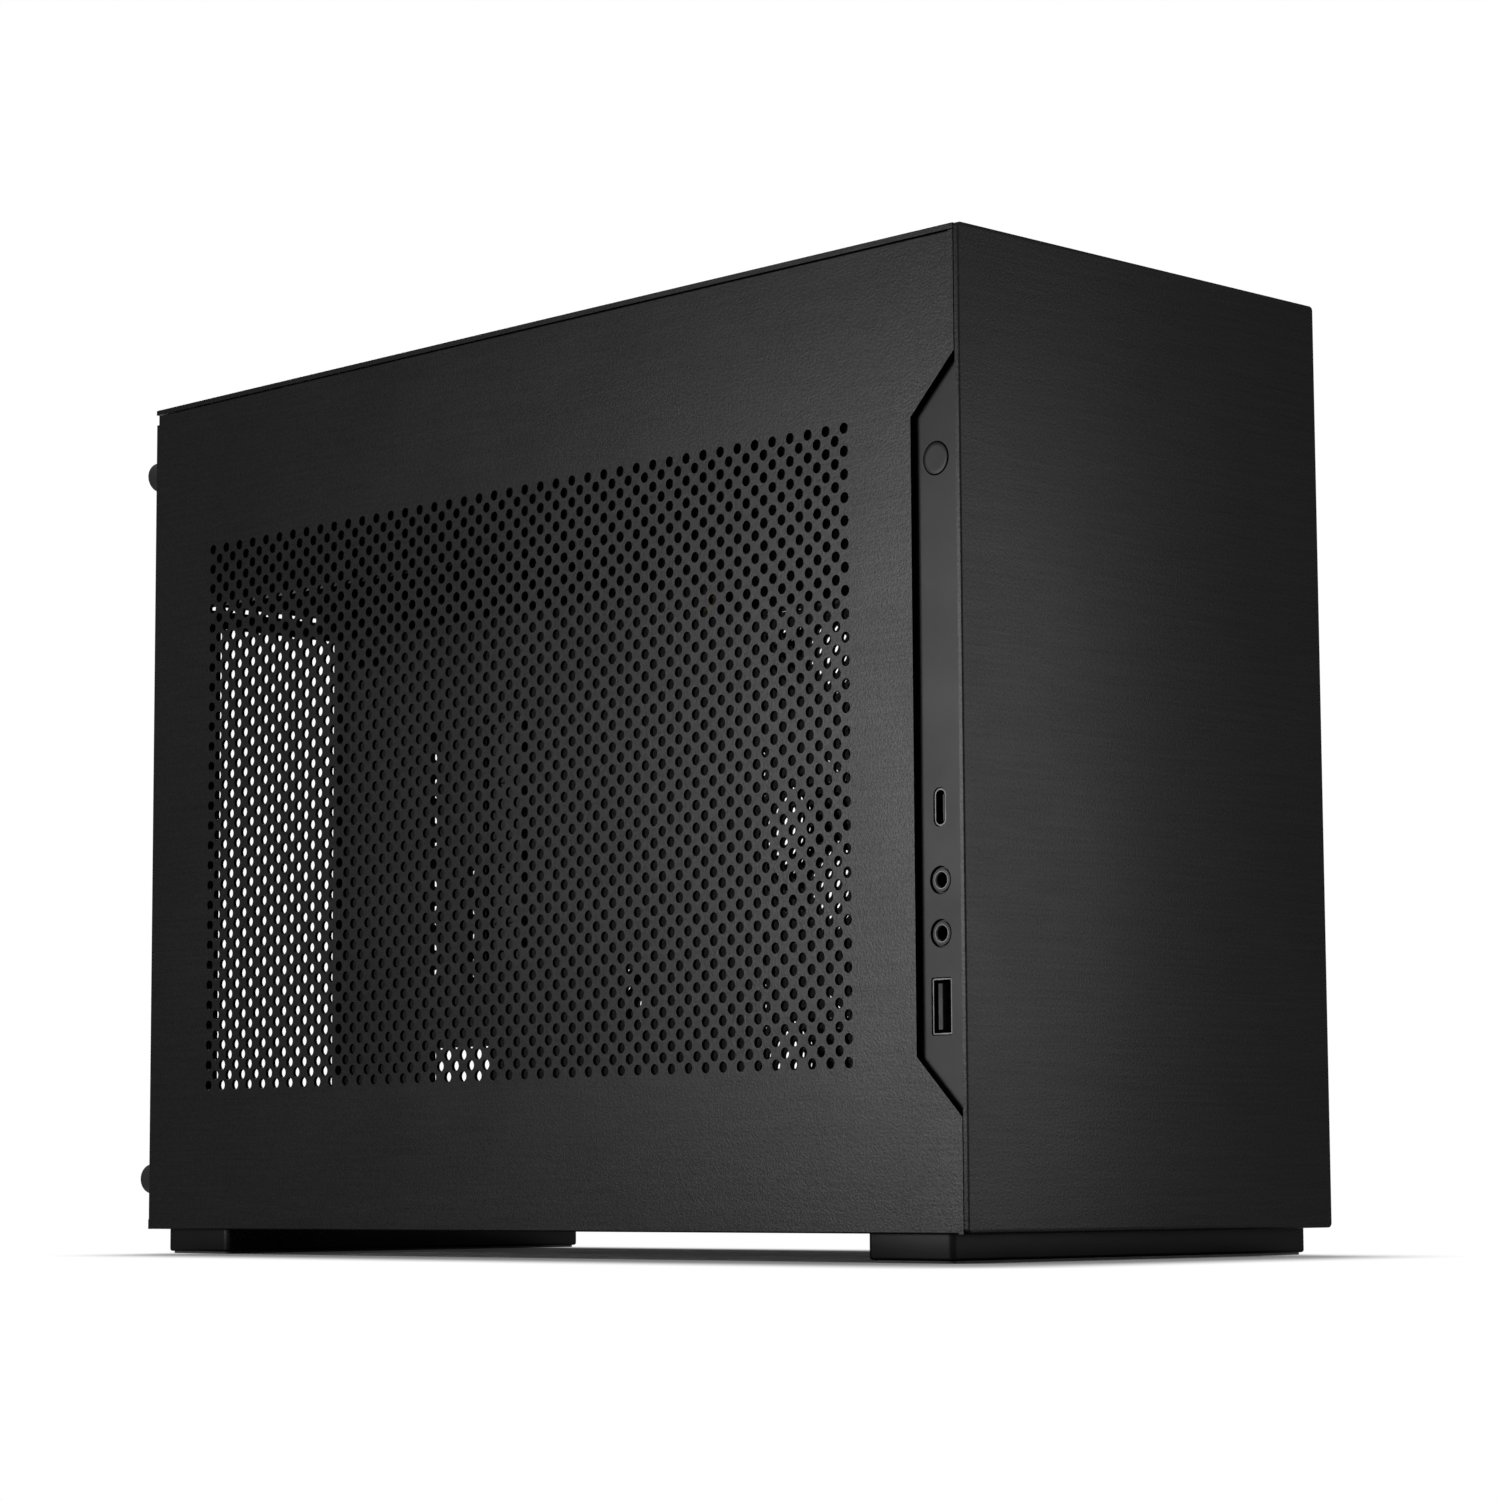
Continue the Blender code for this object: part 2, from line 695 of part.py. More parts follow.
def power_button():
    bm = bmesh.new()
    face = strip_face - button_proud
    back = strip_back + button_behind
    middle = (face + back) / 2
    round_bar(bm, (0, 0, 0), "x", button_radius, back - face, 24)
    button = add_object("power_button", bm, satin_black, (middle, socket_y, bottom + button_level))
    soften(button, 0.0003, 2, 50)
    return button


def power_switch():
    bm = bmesh.new()
    tip = strip_back + button_behind + button_travel + switch_play
    seat = front_frame_left + sheet + gap
    z = bottom + button_level
    near, far = frame_front + sheet + gap, 2 * socket_y - frame_front - sheet - gap
    box_between(bm, (seat, near, z - switch_half), (seat + switch_depth, far, z + switch_half))
    switch = add_object("power_switch", bm, black_plastic)
    plunger = bmesh.new()
    length = seat + sheet - tip
    round_bar(plunger, (tip + length / 2, socket_y, z), "x", switch_plunger_radius, length, 12)
    join_on(switch, plunger, "switch_plunger")
    return switch


def socket_shell(name, level, long_side, wide, corner, finish):
    """A drawn metal shell, open at its mouth, with a tongue standing on its back wall."""
    mouth = strip_face + gap
    end = mouth + socket_length
    bm = bmesh.new()
    verts = box_between(bm, (mouth, socket_y - wide / 2, bottom + level - long_side / 2),
                        (end, socket_y + wide / 2, bottom + level + long_side / 2))
    long_edges = [edge for edge in bm.edges if abs(edge.verts[0].co.x - edge.verts[1].co.x) > 0.001]
    bmesh.ops.bevel(bm, geom=long_edges, offset=corner, segments=3, profile=0.5, affect="EDGES", material=-1)
    shell = add_object(name, bm, finish)
    cavity = bmesh.new()
    wall = socket_wall
    box_between(cavity, (mouth - 0.001, socket_y - wide / 2 + wall, bottom + level - long_side / 2 + wall),
                (end - wall, socket_y + wide / 2 - wall, bottom + level + long_side / 2 - wall))
    if corner > 2 * wall:
        inner = [edge for edge in cavity.edges if abs(edge.verts[0].co.x - edge.verts[1].co.x) > 0.001]
        bmesh.ops.bevel(cavity, geom=inner, offset=corner - wall, segments=3, profile=0.5,
                        affect="EDGES", material=-1)
    cut(shell, cavity)
    tongue = bmesh.new()
    shift = 0 if corner > 2 * wall else wide * usb_a_tongue_shift_share
    thick = wide * tongue_thickness_share / 2
    half = long_side * tongue_share / 2
    box_between(tongue, (mouth + tongue_setback, socket_y + shift - thick, bottom + level - half),
                (end - wall / 2, socket_y + shift + thick, bottom + level + half))
    join_on(shell, tongue, name + "_tongue")
    return shell


def audio_jack(name, level):
    mouth = strip_face + gap
    bm = bmesh.new()
    round_bar(bm, (mouth + socket_length / 2, socket_y, bottom + level), "x", jack_radius, socket_length, 24)
    jack = add_object(name, bm, black_plastic)
    bore = bmesh.new()
    round_bar(bore, (mouth + socket_length / 2 - jack_wall, socket_y, bottom + level), "x",
              jack_bore_radius, socket_length, 16)
    cut(jack, bore)
    return jack


def io_board():
    x = strip_face + gap + socket_length + gap
    bm = bmesh.new()
    box_between(bm, (x, frame_front + sheet + board_front_clearance, bottom + usb_a_level - board_margin),
                (x + board_sheet, socket_y + board_reach, bottom + usb_c_level + board_margin))
    return add_object("io_board", bm, circuit_green)


def slot_centres():
    return [slot_first_x + count * slot_pitch for count in range(slot_count)]


def slots_low():
    return slot_first_x - cover_width / 2 - gap


def slots_high():
    return slot_first_x + (slot_count - 1) * slot_pitch + cover_width / 2 + gap


def slot_cover(number, x):
    low = bottom + shelf_level + gap + cover_sheet
    height = cover_height
    centre = (x, inner_rear, low + height / 2)
    cover = folded_sheet("slot_cover_" + str(number), "rear", centre, cover_width, height,
                         cover_sheet, {"low_y": -(shelf_depth + frame_rear - inner_rear - gap)}, 0.0008, bare_steel)
    bm = bmesh.new()
    half = cover_window_width / 2
    bridge_low = cover_bridge_level - cover_bridge_height / 2
    bridge_high = cover_bridge_level + cover_bridge_height / 2
    for z_low, z_high in ((cover_window_bottom, bridge_low), (bridge_high, cover_window_top)):
        box_between(bm, (x - half, inner_rear - 3 * cover_sheet, bottom + z_low),
                    (x + half, inner_rear + cover_sheet, bottom + z_high))
    round_bar(bm, (x, frame_rear + shelf_depth * slot_screw_share, low), "z", screw_radius + screw_clearance,
              6 * cover_sheet, 10)
    cut(cover, bm)
    return cover


def small_screw(name, seat, axis_down, finish):
    """Pan head screw standing on its seat, shank pointing along -Z unless turned."""
    bm = bmesh.new()
    round_bar(bm, (0, 0, gap + screw_head_height / 2), "z", screw_head_radius, screw_head_height, 14,
              screw_head_radius * 0.72)
    screw = add_object(name, bm, finish, seat, axis_down)
    shank = bmesh.new()
    round_bar(shank, (0, 0, gap + 0.0004 - screw_length / 2), "z", screw_radius, screw_length, 10)
    mesh = bpy.data.meshes.new(name + "_shank")
    shank.to_mesh(mesh)
    shank.free()
    tool = bpy.data.objects.new(name + "_shank", mesh)
    tool.location = seat
    tool.rotation_euler = axis_down
    tool.hide_render = True
    tool.display_type = "WIRE"
    cutters.objects.link(tool)
    combine(screw, tool, "UNION")
    return screw


def thumbscrew(name, side, level):
    """Turned head with a domed end and a stepped shank, drawn as one profile round its axis."""
    bm = bmesh.new()
    dome = 0.0022
    profile = [(0, thumb_length)]
    for step in range(1, 4):
        turn = pi / 2 * step / 3
        profile.append((thumb_radius * sin(turn), thumb_length - dome + dome * cos(turn)))
    profile += [(thumb_radius, gap + 0.0012), (thumb_radius * 0.72, gap + 0.0006),
                (thumb_radius * 0.72, gap), (thumb_shank_radius, gap),
                (thumb_shank_radius, gap - thumb_shank_length), (0, gap - thumb_shank_length)]
    turn_profile(bm, profile)
    place = (side * (body_width / 2 - thumb_inset), rear, bottom + level)
    screw = add_object(name, bm, bare_black, place, (radians(-90), 0, 0))
    spin_profile(screw, 16)
    return screw


def turn_profile(bm, profile):
    verts = [bm.verts.new((r, 0, z)) for r, z in profile]
    for first, second in zip(verts, verts[1:]):
        bm.edges.new((first, second))


def spin_profile(thing, steps):
    turned = thing.modifiers.new("turn", "SCREW")
    turned.angle = 2 * pi
    turned.screw_offset = 0
    turned.steps = steps
    turned.render_steps = steps
    turned.use_merge_vertices = True
    turned.merge_threshold = 0.00001


def foot_posts():
    ends = ((front + foot_inset_end + foot_depth / 2), (rear - foot_inset_end - foot_depth / 2))
    return [(x, y) for y in ends for x in (-foot_post_x, foot_post_x)]


def foot(name, y_low):
    half = body_width / 2 - foot_inset_side
    bm = bmesh.new()
    box_between(bm, (-half, y_low, foot_rim), (half, y_low + foot_depth, bottom - gap))
    upright = [edge for edge in bm.edges if abs(edge.verts[0].co.z - edge.verts[1].co.z) > 0.001]
    bmesh.ops.bevel(bm, geom=upright, offset=foot_round, segments=3, profile=0.5, affect="EDGES", material=-1)
    bar = add_object(name, bm, satin_black)
    posts = bmesh.new()
    holes = bmesh.new()
    for x, y in foot_posts():
        if y_low < y < y_low + foot_depth:
            post_low = bottom - 2 * gap - sheet
            post_high = frame_bottom - gap
            round_bar(posts, (x, y, (post_low + post_high) / 2), "z", foot_post_radius,
                      post_high - post_low, 12)
            round_bar(holes, (x, y, frame_bottom - 0.0025), "z", screw_radius + screw_clearance, 0.0060, 10)
    box_between(holes, (-half + sole_margin - gap, y_low + sole_margin - gap, 0),
                (half - sole_margin + gap, y_low + foot_depth - sole_margin + gap, sole_height + gap))
    join_on(bar, posts, name + "_posts")
    cut(bar, holes)
    return bar


def foot_sole(name, y_low):
    half = body_width / 2 - foot_inset_side - sole_margin
    bm = bmesh.new()
    box_between(bm, (-half, y_low + sole_margin, 0), (half, y_low + foot_depth - sole_margin, sole_height))
    return add_object(name, bm, rubber)


def board_holes():
    rear_y = inner_rear - board_hole_rear
    low_z = bottom + board_hole_bottom
    return [(y, z) for y in (rear_y, rear_y - board_hole_spacing_y)
            for z in (low_z, low_z + board_hole_spacing_z)]


def standoff(number, y, z):
    bm = bmesh.new()
    across = standoff_across / 2 / cos(pi / 6)
    middle = tray_face_x - gap - standoff_height / 2
    round_bar(bm, (0, 0, 0), "x", across, standoff_height, 6)
    post = add_object("standoff_" + str(number), bm, brass, (middle, y, z))
    stud = bmesh.new()
    round_bar(stud, (tray_face_x, y, z), "x", screw_radius, 0.0045, 10)
    join_on(post, stud, "standoff_stud_" + str(number))
    hole = bmesh.new()
    round_bar(hole, (middle - standoff_height / 2, y, z), "x", screw_radius, 0.0080, 10)
    cut(post, hole)
    return post


def riser_parts():
    y_low = rear - riser_from_rear
    y_high = y_low + riser_length
    level = bottom + riser_level
    plate_x = tray_face_x + sheet + gap
    centre = (plate_x + sheet, (y_low + y_high) / 2, level + gap - riser_plate_height / 2 + board_sheet)
    bracket = folded_sheet("riser_bracket", "right", centre, riser_length + riser_plate_margin,
                           riser_plate_height, sheet, {"high_y": -riser_flange}, riser_relief, steel)
    bm = bmesh.new()
    box_between(bm, (riser_x - riser_width / 2, y_low - riser_board_margin, level),
                (riser_x + riser_width / 2, y_high + riser_board_margin, level + board_sheet))
    board = add_object("riser_board", bm, circuit_green)
    bm = bmesh.new()
    socket_top = level - gap
    box_between(bm, (riser_x - riser_width / 2, y_low, socket_top - riser_height),
                (riser_x + riser_width / 2, y_high, socket_top))
    socket = add_object("riser_socket", bm, black_plastic)
    slots = bmesh.new()
    half = riser_slot_width / 2
    key = y_high - riser_key_from_end
    for start, end in ((y_low + riser_slot_margin, key - riser_key_width / 2),
                       (key + riser_key_width / 2, y_high - riser_slot_margin)):
        box_between(slots, (riser_x - half, start, socket_top - riser_height - gap),
                    (riser_x + half, end, socket_top - riser_height + riser_slot_depth))
    cut(socket, slots)
    return bracket, board, socket


def build_case():
    front_panel()
    top_panel()
    side_panel("left_panel", "left")
    side_panel("right_panel", "right")
    base_frame()
    front_frame()
    rear_frame()
    radiator_bracket()
    motherboard_tray()
    bay_divider()
    psu_bracket()
    io_strip()
    power_button()
    power_switch()
    socket_shell("usb_c_socket", usb_c_level, usb_c_length, usb_c_width, usb_c_width * 0.46, bare_steel)
    socket_shell("usb_a_socket", usb_a_level, usb_a_length, usb_a_width, 0.0004, bare_steel)
    audio_jack("headphone_jack", headphone_level)
    audio_jack("microphone_jack", microphone_level)
    io_board()
    for number, x in enumerate(slot_centres(), 1):
        slot_cover(number, x)
        seat = (x, frame_rear + shelf_depth * slot_screw_share, bottom + shelf_level + gap + cover_sheet)
        small_screw("slot_screw_" + str(number), seat, (0, 0, 0), bare_steel)
    thumbscrew("thumbscrew_left_top", -1, thumb_high_level)
    thumbscrew("thumbscrew_left_bottom", -1, thumb_low_level)
    thumbscrew("thumbscrew_right_top", 1, thumb_high_level)
    thumbscrew("thumbscrew_right_bottom", 1, thumb_low_level)
    for name, y in (("front", front + foot_inset_end), ("rear", rear - foot_inset_end - foot_depth)):
        foot("foot_" + name, y)
        foot_sole("foot_sole_" + name, y)
    for number, (x, y) in enumerate(foot_posts(), 1):
        small_screw("foot_screw_" + str(number), (x, y, frame_bottom + sheet), (0, 0, 0), bare_steel)
    for number, (y, z) in enumerate(board_holes(), 1):
        standoff(number, y, z)
    for number, (x, z) in enumerate(front_studs(), 1):
        front_stud(number, x, z)
    for number, (x, y) in enumerate(top_spacers(), 1):
        top_spacer(number, x, y)
    riser_parts()


clear_scene()
case = new_collection("mini_itx_case")
cutters = new_collection("cutters")
anodised = make_finish("anodised_black", (0.030, 0.030, 0.031), 0.45, 0.6)
satin_black = make_finish("satin_black", (0.035, 0.035, 0.036), 0.50, 0.1)
steel = make_finish("coated_steel", (0.022, 0.022, 0.023), 0.55, 0.2)
bare_black = make_finish("blackened_steel", (0.020, 0.020, 0.021), 0.35, 0.8)
bare_steel = make_finish("dark_nickel", (0.16, 0.16, 0.165), 0.35, 0.9)
black_plastic = make_finish("black_plastic", (0.018, 0.018, 0.018), 0.5, 0.0)
circuit_green = make_finish("circuit_board", (0.012, 0.035, 0.020), 0.5, 0.0)
brass = make_finish("brass", (0.55, 0.40, 0.16), 0.3, 1.0)
rubber = make_finish("rubber", (0.012, 0.012, 0.012), 0.9, 0.0)
build_case()
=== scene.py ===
import bmesh
import bpy
import json
from math import atan2, cos, pi, radians, sin
from mathutils import Matrix, Vector


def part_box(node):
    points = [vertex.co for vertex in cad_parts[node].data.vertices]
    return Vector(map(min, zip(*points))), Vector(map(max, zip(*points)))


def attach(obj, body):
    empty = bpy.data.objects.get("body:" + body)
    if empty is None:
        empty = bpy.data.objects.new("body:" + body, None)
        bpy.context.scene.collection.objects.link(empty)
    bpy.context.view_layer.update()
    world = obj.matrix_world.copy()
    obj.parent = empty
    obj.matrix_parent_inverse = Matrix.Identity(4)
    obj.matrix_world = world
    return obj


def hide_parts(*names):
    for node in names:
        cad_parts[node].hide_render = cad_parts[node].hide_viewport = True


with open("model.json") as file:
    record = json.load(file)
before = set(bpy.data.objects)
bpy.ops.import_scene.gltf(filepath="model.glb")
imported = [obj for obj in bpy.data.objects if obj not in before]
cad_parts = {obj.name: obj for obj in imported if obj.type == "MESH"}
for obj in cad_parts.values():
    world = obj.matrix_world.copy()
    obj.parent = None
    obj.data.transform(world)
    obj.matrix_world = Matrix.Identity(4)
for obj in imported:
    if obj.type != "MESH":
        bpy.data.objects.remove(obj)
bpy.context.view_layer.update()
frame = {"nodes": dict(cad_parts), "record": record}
scene = bpy.context.scene
scene.view_settings.view_transform = "Standard"
print("frame loaded,", len(frame["nodes"]), "nodes")

# The case's own faces, in metres, read from the frame
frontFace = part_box("front_panel")[0][1]
sideLeft, panelFront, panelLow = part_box("left_panel")[0]
sideRight, rearFace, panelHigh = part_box("right_panel")[1]


# The camera, solved from the photograph's vanishing points
cameraSettings = {
    "place": (-0.7705, -0.8074, 0.0189),
    "turn": 0.776863,       # from straight ahead towards +X
    "tilt": 0.108593,       # upwards
    "roll": -0.005568,
    "lens": 95.714,
    "sensor": 36,
    "nearest": 0.01,
}


def addCamera(settings):
    data = bpy.data.cameras.new("camera")
    data.lens = settings["lens"]
    data.sensor_width = settings["sensor"]
    data.clip_start = settings["nearest"]
    camera = bpy.data.objects.new("camera", data)
    scene.collection.objects.link(camera)
    turn = Matrix.Rotation(-settings["turn"], 4, "Z")
    tilt = Matrix.Rotation(radians(90) + settings["tilt"], 4, "X")
    roll = Matrix.Rotation(settings["roll"], 4, "Z")
    camera.matrix_world = Matrix.Translation(settings["place"]) @ turn @ tilt @ roll
    scene.camera = camera


addCamera(cameraSettings)


# What a finish has unless it says otherwise
commonLook = {"metallic": 1.0, "specular": 0.5, "edgeTint": 1.0, "stretch": (1, 1, 1)}

# The finishes, one for each material slot of the record. The sizes of grain and clouds and the bump's height
# are in metres. Spread is the share by which the colour varies, and streaks is the lines' share in that.
finishSettings = {
    "anodisedAluminium": {
        "slot": "anodised_aluminium", "colour": (0.012, 0.012, 0.0121), "spread": 0.6, "streaks": 0.3,
        "roughness": (0.34, 0.38), "edgeTint": 0.5, "grain": 0.0006, "bump": 0.00005, "clouds": 0.035,
    },
    "satinBlack": {
        "slot": "satin_black", "colour": (0.0095, 0.0095, 0.0096), "spread": 0.18,
        "roughness": (0.36, 0.41), "edgeTint": 0.5, "grain": 0.00025, "bump": 0.000010, "clouds": 0.02,
    },
    "coatedSteel": {
        "slot": "coated_steel", "colour": (0.0045, 0.0045, 0.0046), "spread": 0.3, "metallic": 0.0,
        "roughness": (0.50, 0.62), "specular": 0.10, "grain": 0.0007, "bump": 0.00006, "clouds": 0.05,
    },
    "blackenedSteel": {
        "slot": "blackened_steel", "colour": (0.022, 0.022, 0.023), "spread": 0.3,
        "roughness": (0.28, 0.42), "edgeTint": 0.6, "grain": 0.00022, "bump": 0.000012, "clouds": 0.004,
    },
    "darkNickel": {
        "slot": "dark_nickel", "colour": (0.026, 0.026, 0.027), "spread": 0.15, "stretch": (1, 6, 1),
        "roughness": (0.28, 0.40), "edgeTint": 0.6, "grain": 0.00018, "bump": 0.000008, "clouds": 0.004,
    },
    "mouldedPlastic": {
        "slot": "black_plastic", "colour": (0.010, 0.010, 0.010), "spread": 0.2, "metallic": 0.0,
        "roughness": (0.40, 0.52), "specular": 0.1, "grain": 0.0003, "bump": 0.000015, "clouds": 0.006,
    },
    "lacqueredBoard": {
        "slot": "circuit_board", "colour": (0.008, 0.030, 0.016), "spread": 0.35, "metallic": 0.0,
        "stretch": (1, 8, 1), "roughness": (0.28, 0.40), "grain": 0.0011, "bump": 0.00002, "clouds": 0.01,
    },
    "turnedBrass": {
        "slot": "brass", "colour": (0.036, 0.025, 0.011), "spread": 0.2, "stretch": (8, 1, 1),
        "roughness": (0.35, 0.50), "edgeTint": 0.5, "grain": 0.00015, "bump": 0.00001, "clouds": 0.003,
    },
    "soleRubber": {
        "slot": "rubber", "colour": (0.010, 0.010, 0.010), "spread": 0.3, "metallic": 0.0,
        "roughness": (0.70, 0.85), "specular": 0.4, "grain": 0.0005, "bump": 0.00004, "clouds": 0.01,
    },
}

textureSettings = {
    "grainDetail": 2,
    "cloudDetail": 4,
    "streakScale": (40, 40, 1600),      # to the metre along X, Y and Z: long, level and fine
    "usualRange": (0.35, 0.65),         # most of the clouds' values lie between these
}


def wire(tree, source, output, target, field):
    tree.links.new(source.outputs[output], target.inputs[field])


def scaledPlace(tree, place, scale):
    mapping = tree.nodes.new("ShaderNodeMapping")
    mapping.inputs["Scale"].default_value = scale
    wire(tree, place, "Object", mapping, "Vector")
    return mapping


def addNoise(tree, source, output, size, detail):
    noise = tree.nodes.new("ShaderNodeTexNoise")
    noise.inputs["Scale"].default_value = 1 / size
    noise.inputs["Detail"].default_value = detail
    wire(tree, source, output, noise, "Vector")
    return noise


def makeFinish(name, look, texture):
    finish = bpy.data.materials.new(name)
    finish.use_nodes = True
    tree = finish.node_tree
    shader = tree.nodes["Principled BSDF"]
    shader.inputs["Metallic"].default_value = look["metallic"]
    shader.inputs["Specular IOR Level"].default_value = look["specular"]
    shader.inputs["Specular Tint"].default_value = (*[look["edgeTint"]] * 3, 1)
    place = tree.nodes.new("ShaderNodeTexCoord")
    stretched = scaledPlace(tree, place, [1 / step for step in look["stretch"]])
    grain = addNoise(tree, stretched, "Vector", look["grain"], texture["grainDetail"])
    clouds = addNoise(tree, place, "Object", look["clouds"], texture["cloudDetail"])
    pattern, output = grain, "Fac"
    if "streaks" in look:
        drawn = scaledPlace(tree, place, texture["streakScale"])
        lines = addNoise(tree, drawn, "Vector", 1, texture["grainDetail"])
        pattern, output = tree.nodes.new("ShaderNodeMix"), "Result"
        pattern.inputs["Factor"].default_value = look["streaks"]
        wire(tree, grain, "Fac", pattern, "A")
        wire(tree, lines, "Fac", pattern, "B")
    colour = tree.nodes.new("ShaderNodeMix")
    colour.data_type = "RGBA"
    colour.inputs["A"].default_value = (*[part * (1 - look["spread"]) for part in look["colour"]], 1)
    colour.inputs["B"].default_value = (*[part * (1 + look["spread"]) for part in look["colour"]], 1)
    wire(tree, pattern, output, colour, "Factor")
    wire(tree, colour, "Result", shader, "Base Color")
    polish = tree.nodes.new("ShaderNodeMapRange")
    polish.inputs["From Min"].default_value, polish.inputs["From Max"].default_value = texture["usualRange"]
    polish.inputs["To Min"].default_value, polish.inputs["To Max"].default_value = look["roughness"]
    wire(tree, clouds, "Fac", polish, "Value")
    wire(tree, polish, "Result", shader, "Roughness")
    bump = tree.nodes.new("ShaderNodeBump")
    bump.inputs["Strength"].default_value = 1.0
    bump.inputs["Distance"].default_value = look["bump"]
    wire(tree, grain, "Fac", bump, "Height")
    wire(tree, bump, "Normal", shader, "Normal")
    return finish


finishes = {name: makeFinish(name, {**commonLook, **look}, textureSettings)
            for name, look in finishSettings.items()}
slotFinishes = {look["slot"]: finishes[name] for name, look in finishSettings.items()}
nodeSlots = {entry["node"]: entry["material_slot"] for entry in frame["record"]["subparts"]}
for node, thing in frame["nodes"].items():
    for slot in thing.material_slots:
        slot.material = slotFinishes[nodeSlots[node]]
print("finishes made")


# A new piece in the finish's own slot, which rides on body and may stand in for nodes of the CAD
def addPiece(name, bm, finish, body, *nodes):
    mesh = bpy.data.meshes.new(name)
    bm.to_mesh(mesh)
    bm.free()
    mesh.materials.append(finishes[finish])
    piece = bpy.data.objects.new(name, mesh)
    scene.collection.objects.link(piece)
    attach(piece, body)
    if nodes:
        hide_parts(*nodes)
    return piece


def givenThickness(piece, thickness):
    solid = piece.modifiers.new("thickness", "SOLIDIFY")
    solid.thickness = thickness
    solid.offset = -1
    solid.use_even_offset = True
    return piece


def smoothed(piece, degrees=35):
    for face in piece.data.polygons:
        face.use_smooth = True
    piece.data.set_sharp_from_angle(angle=radians(degrees))
    return piece


# Distances in metres under which two things count as one
slack = {
    "level": 1e-6,          # levels of vertices
    "holeEdge": 0.0001,     # an edge's length and that of a side of a hole
    "tiles": 0.00002,       # vertices of neighbouring tiles
    "bends": 0.000005,      # vertices where a bend meets its sheet
    "turns": 0.000002,      # the two ends of a turned body's round
}


def middleOf(node):
    low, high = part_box(node)
    return Vector([(near + far) / 2 for near, far in zip(low, high)])


def sizeOf(node):
    low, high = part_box(node)
    return Vector([far - near for near, far in zip(low, high)])


def vertsIn(geometry):
    return [part for part in geometry if isinstance(part, bmesh.types.BMVert)]


def edgesIn(geometry):
    return [part for part in geometry if isinstance(part, bmesh.types.BMEdge)]


def edgesAt(edges, axis, level):
    return [edge for edge in edges
            if all(abs(vert.co[axis] - level) < slack["level"] for vert in edge.verts)]


def moved(bm, geometry, step):
    bmesh.ops.translate(bm, verts=vertsIn(geometry), vec=step)


def filled(bm, edges):
    bmesh.ops.triangle_fill(bm, use_beauty=True, edges=edges)


def roundedEdges(bm, edges, offset, segments):
    bmesh.ops.bevel(bm, geom=edges, offset=offset, segments=segments, profile=0.5, affect="EDGES",
                    material=-1)


# The perforated sheets are cut flat, then their edges are bent round. Flat, a sheet lies in X and Y.
perforation = {
    "columnPitch": 0.003150,
    "rowPitch": 0.005814,
    "radius": 0.00145,
    "sides": 12,
}


# Lays tiles with a hole in each, every second column half a row higher and one tile shorter, from the first
# hole's middle at corner. Returns the field's outer edges.
def perforatedField(bm, pattern, corner, columns, rows):
    across, up = pattern["columnPitch"], pattern["rowPitch"]
    slant = (across ** 2 + up ** 2 / 4) / 2
    # One hole's share of the sheet is a six-cornered tile round a circle, with these half widths at its middle
    # and at its ends
    wide, narrow = slant / across, (slant - up ** 2 / 4) / across
    upright = Matrix.Rotation(radians(90), 4, "Z")
    for vert in bmesh.ops.create_circle(bm, segments=6, radius=1, matrix=upright)["verts"]:
        middle = abs(vert.co.y) < 0.5
        vert.co.x = (wide if middle else narrow) * (1 if vert.co.x > 0 else -1)
        vert.co.y = 0 if middle else up / 2 * (1 if vert.co.y > 0 else -1)
    bmesh.ops.create_circle(bm, segments=pattern["sides"], radius=pattern["radius"])
    filled(bm, bm.edges[:])
    moved(bm, bm.verts[:], (*corner, 0))
    cell = bm.verts[:] + bm.edges[:] + bm.faces[:]
    columnsOf = []
    for count in (rows, rows - 1):
        column = []
        for row in range(count):
            copy = bmesh.ops.duplicate(bm, geom=cell)["geom"]
            moved(bm, copy, (0, (row + (rows - count) / 2) * up, 0))
            column += copy
        columnsOf.append(column)
    for number in range(columns):
        copy = bmesh.ops.duplicate(bm, geom=columnsOf[number % 2])["geom"]
        moved(bm, copy, (number * across, 0, 0))
    bmesh.ops.delete(bm, geom=vertsIn(cell + columnsOf[0] + columnsOf[1]), context="VERTS")
    bmesh.ops.remove_doubles(bm, verts=bm.verts[:], dist=slack["tiles"])
    holeEdge = 2 * pattern["radius"] * sin(pi / pattern["sides"])
    return [edge for edge in bm.edges
            if len(edge.link_faces) == 1 and abs(edge.calc_length() - holeEdge) > slack["holeEdge"]]


# A sheet from points (x, y): a plain strip along its outline, then filled up to the outer edges of the field
def filledOutline(bm, points, border, field):
    face = bm.faces.new([bm.verts.new((x, y, 0)) for x, y in points])
    outline = list(face.edges)
    bmesh.ops.inset_region(bm, faces=[face], thickness=border, use_even_offset=True)
    loop = list(face.edges)
    bmesh.ops.delete(bm, geom=[face], context="FACES_ONLY")
    filled(bm, loop + field)
    return outline


# Turns the normals so that the faces square to outwards look that way
def facedOutwards(bm, outwards):
    bmesh.ops.recalc_face_normals(bm, faces=bm.faces[:])
    bm.normal_update()
    leanings = [face.normal.dot(Vector(outwards)) * face.calc_area() for face in bm.faces
                if abs(face.normal.dot(Vector(outwards))) > cos(radians(5))]
    if sum(leanings) < 0:
        bmesh.ops.reverse_faces(bm, faces=bm.faces[:])


# Stands a flat sheet up in the plane at x: its X runs to the rear and its Y upwards
def stoodUp(bm, x):
    standing = Matrix(((0, 0, 1, x), (1, 0, 0, 0), (0, 1, 0, 0), (0, 0, 0, 1)))
    bmesh.ops.transform(bm, matrix=standing, verts=bm.verts[:])


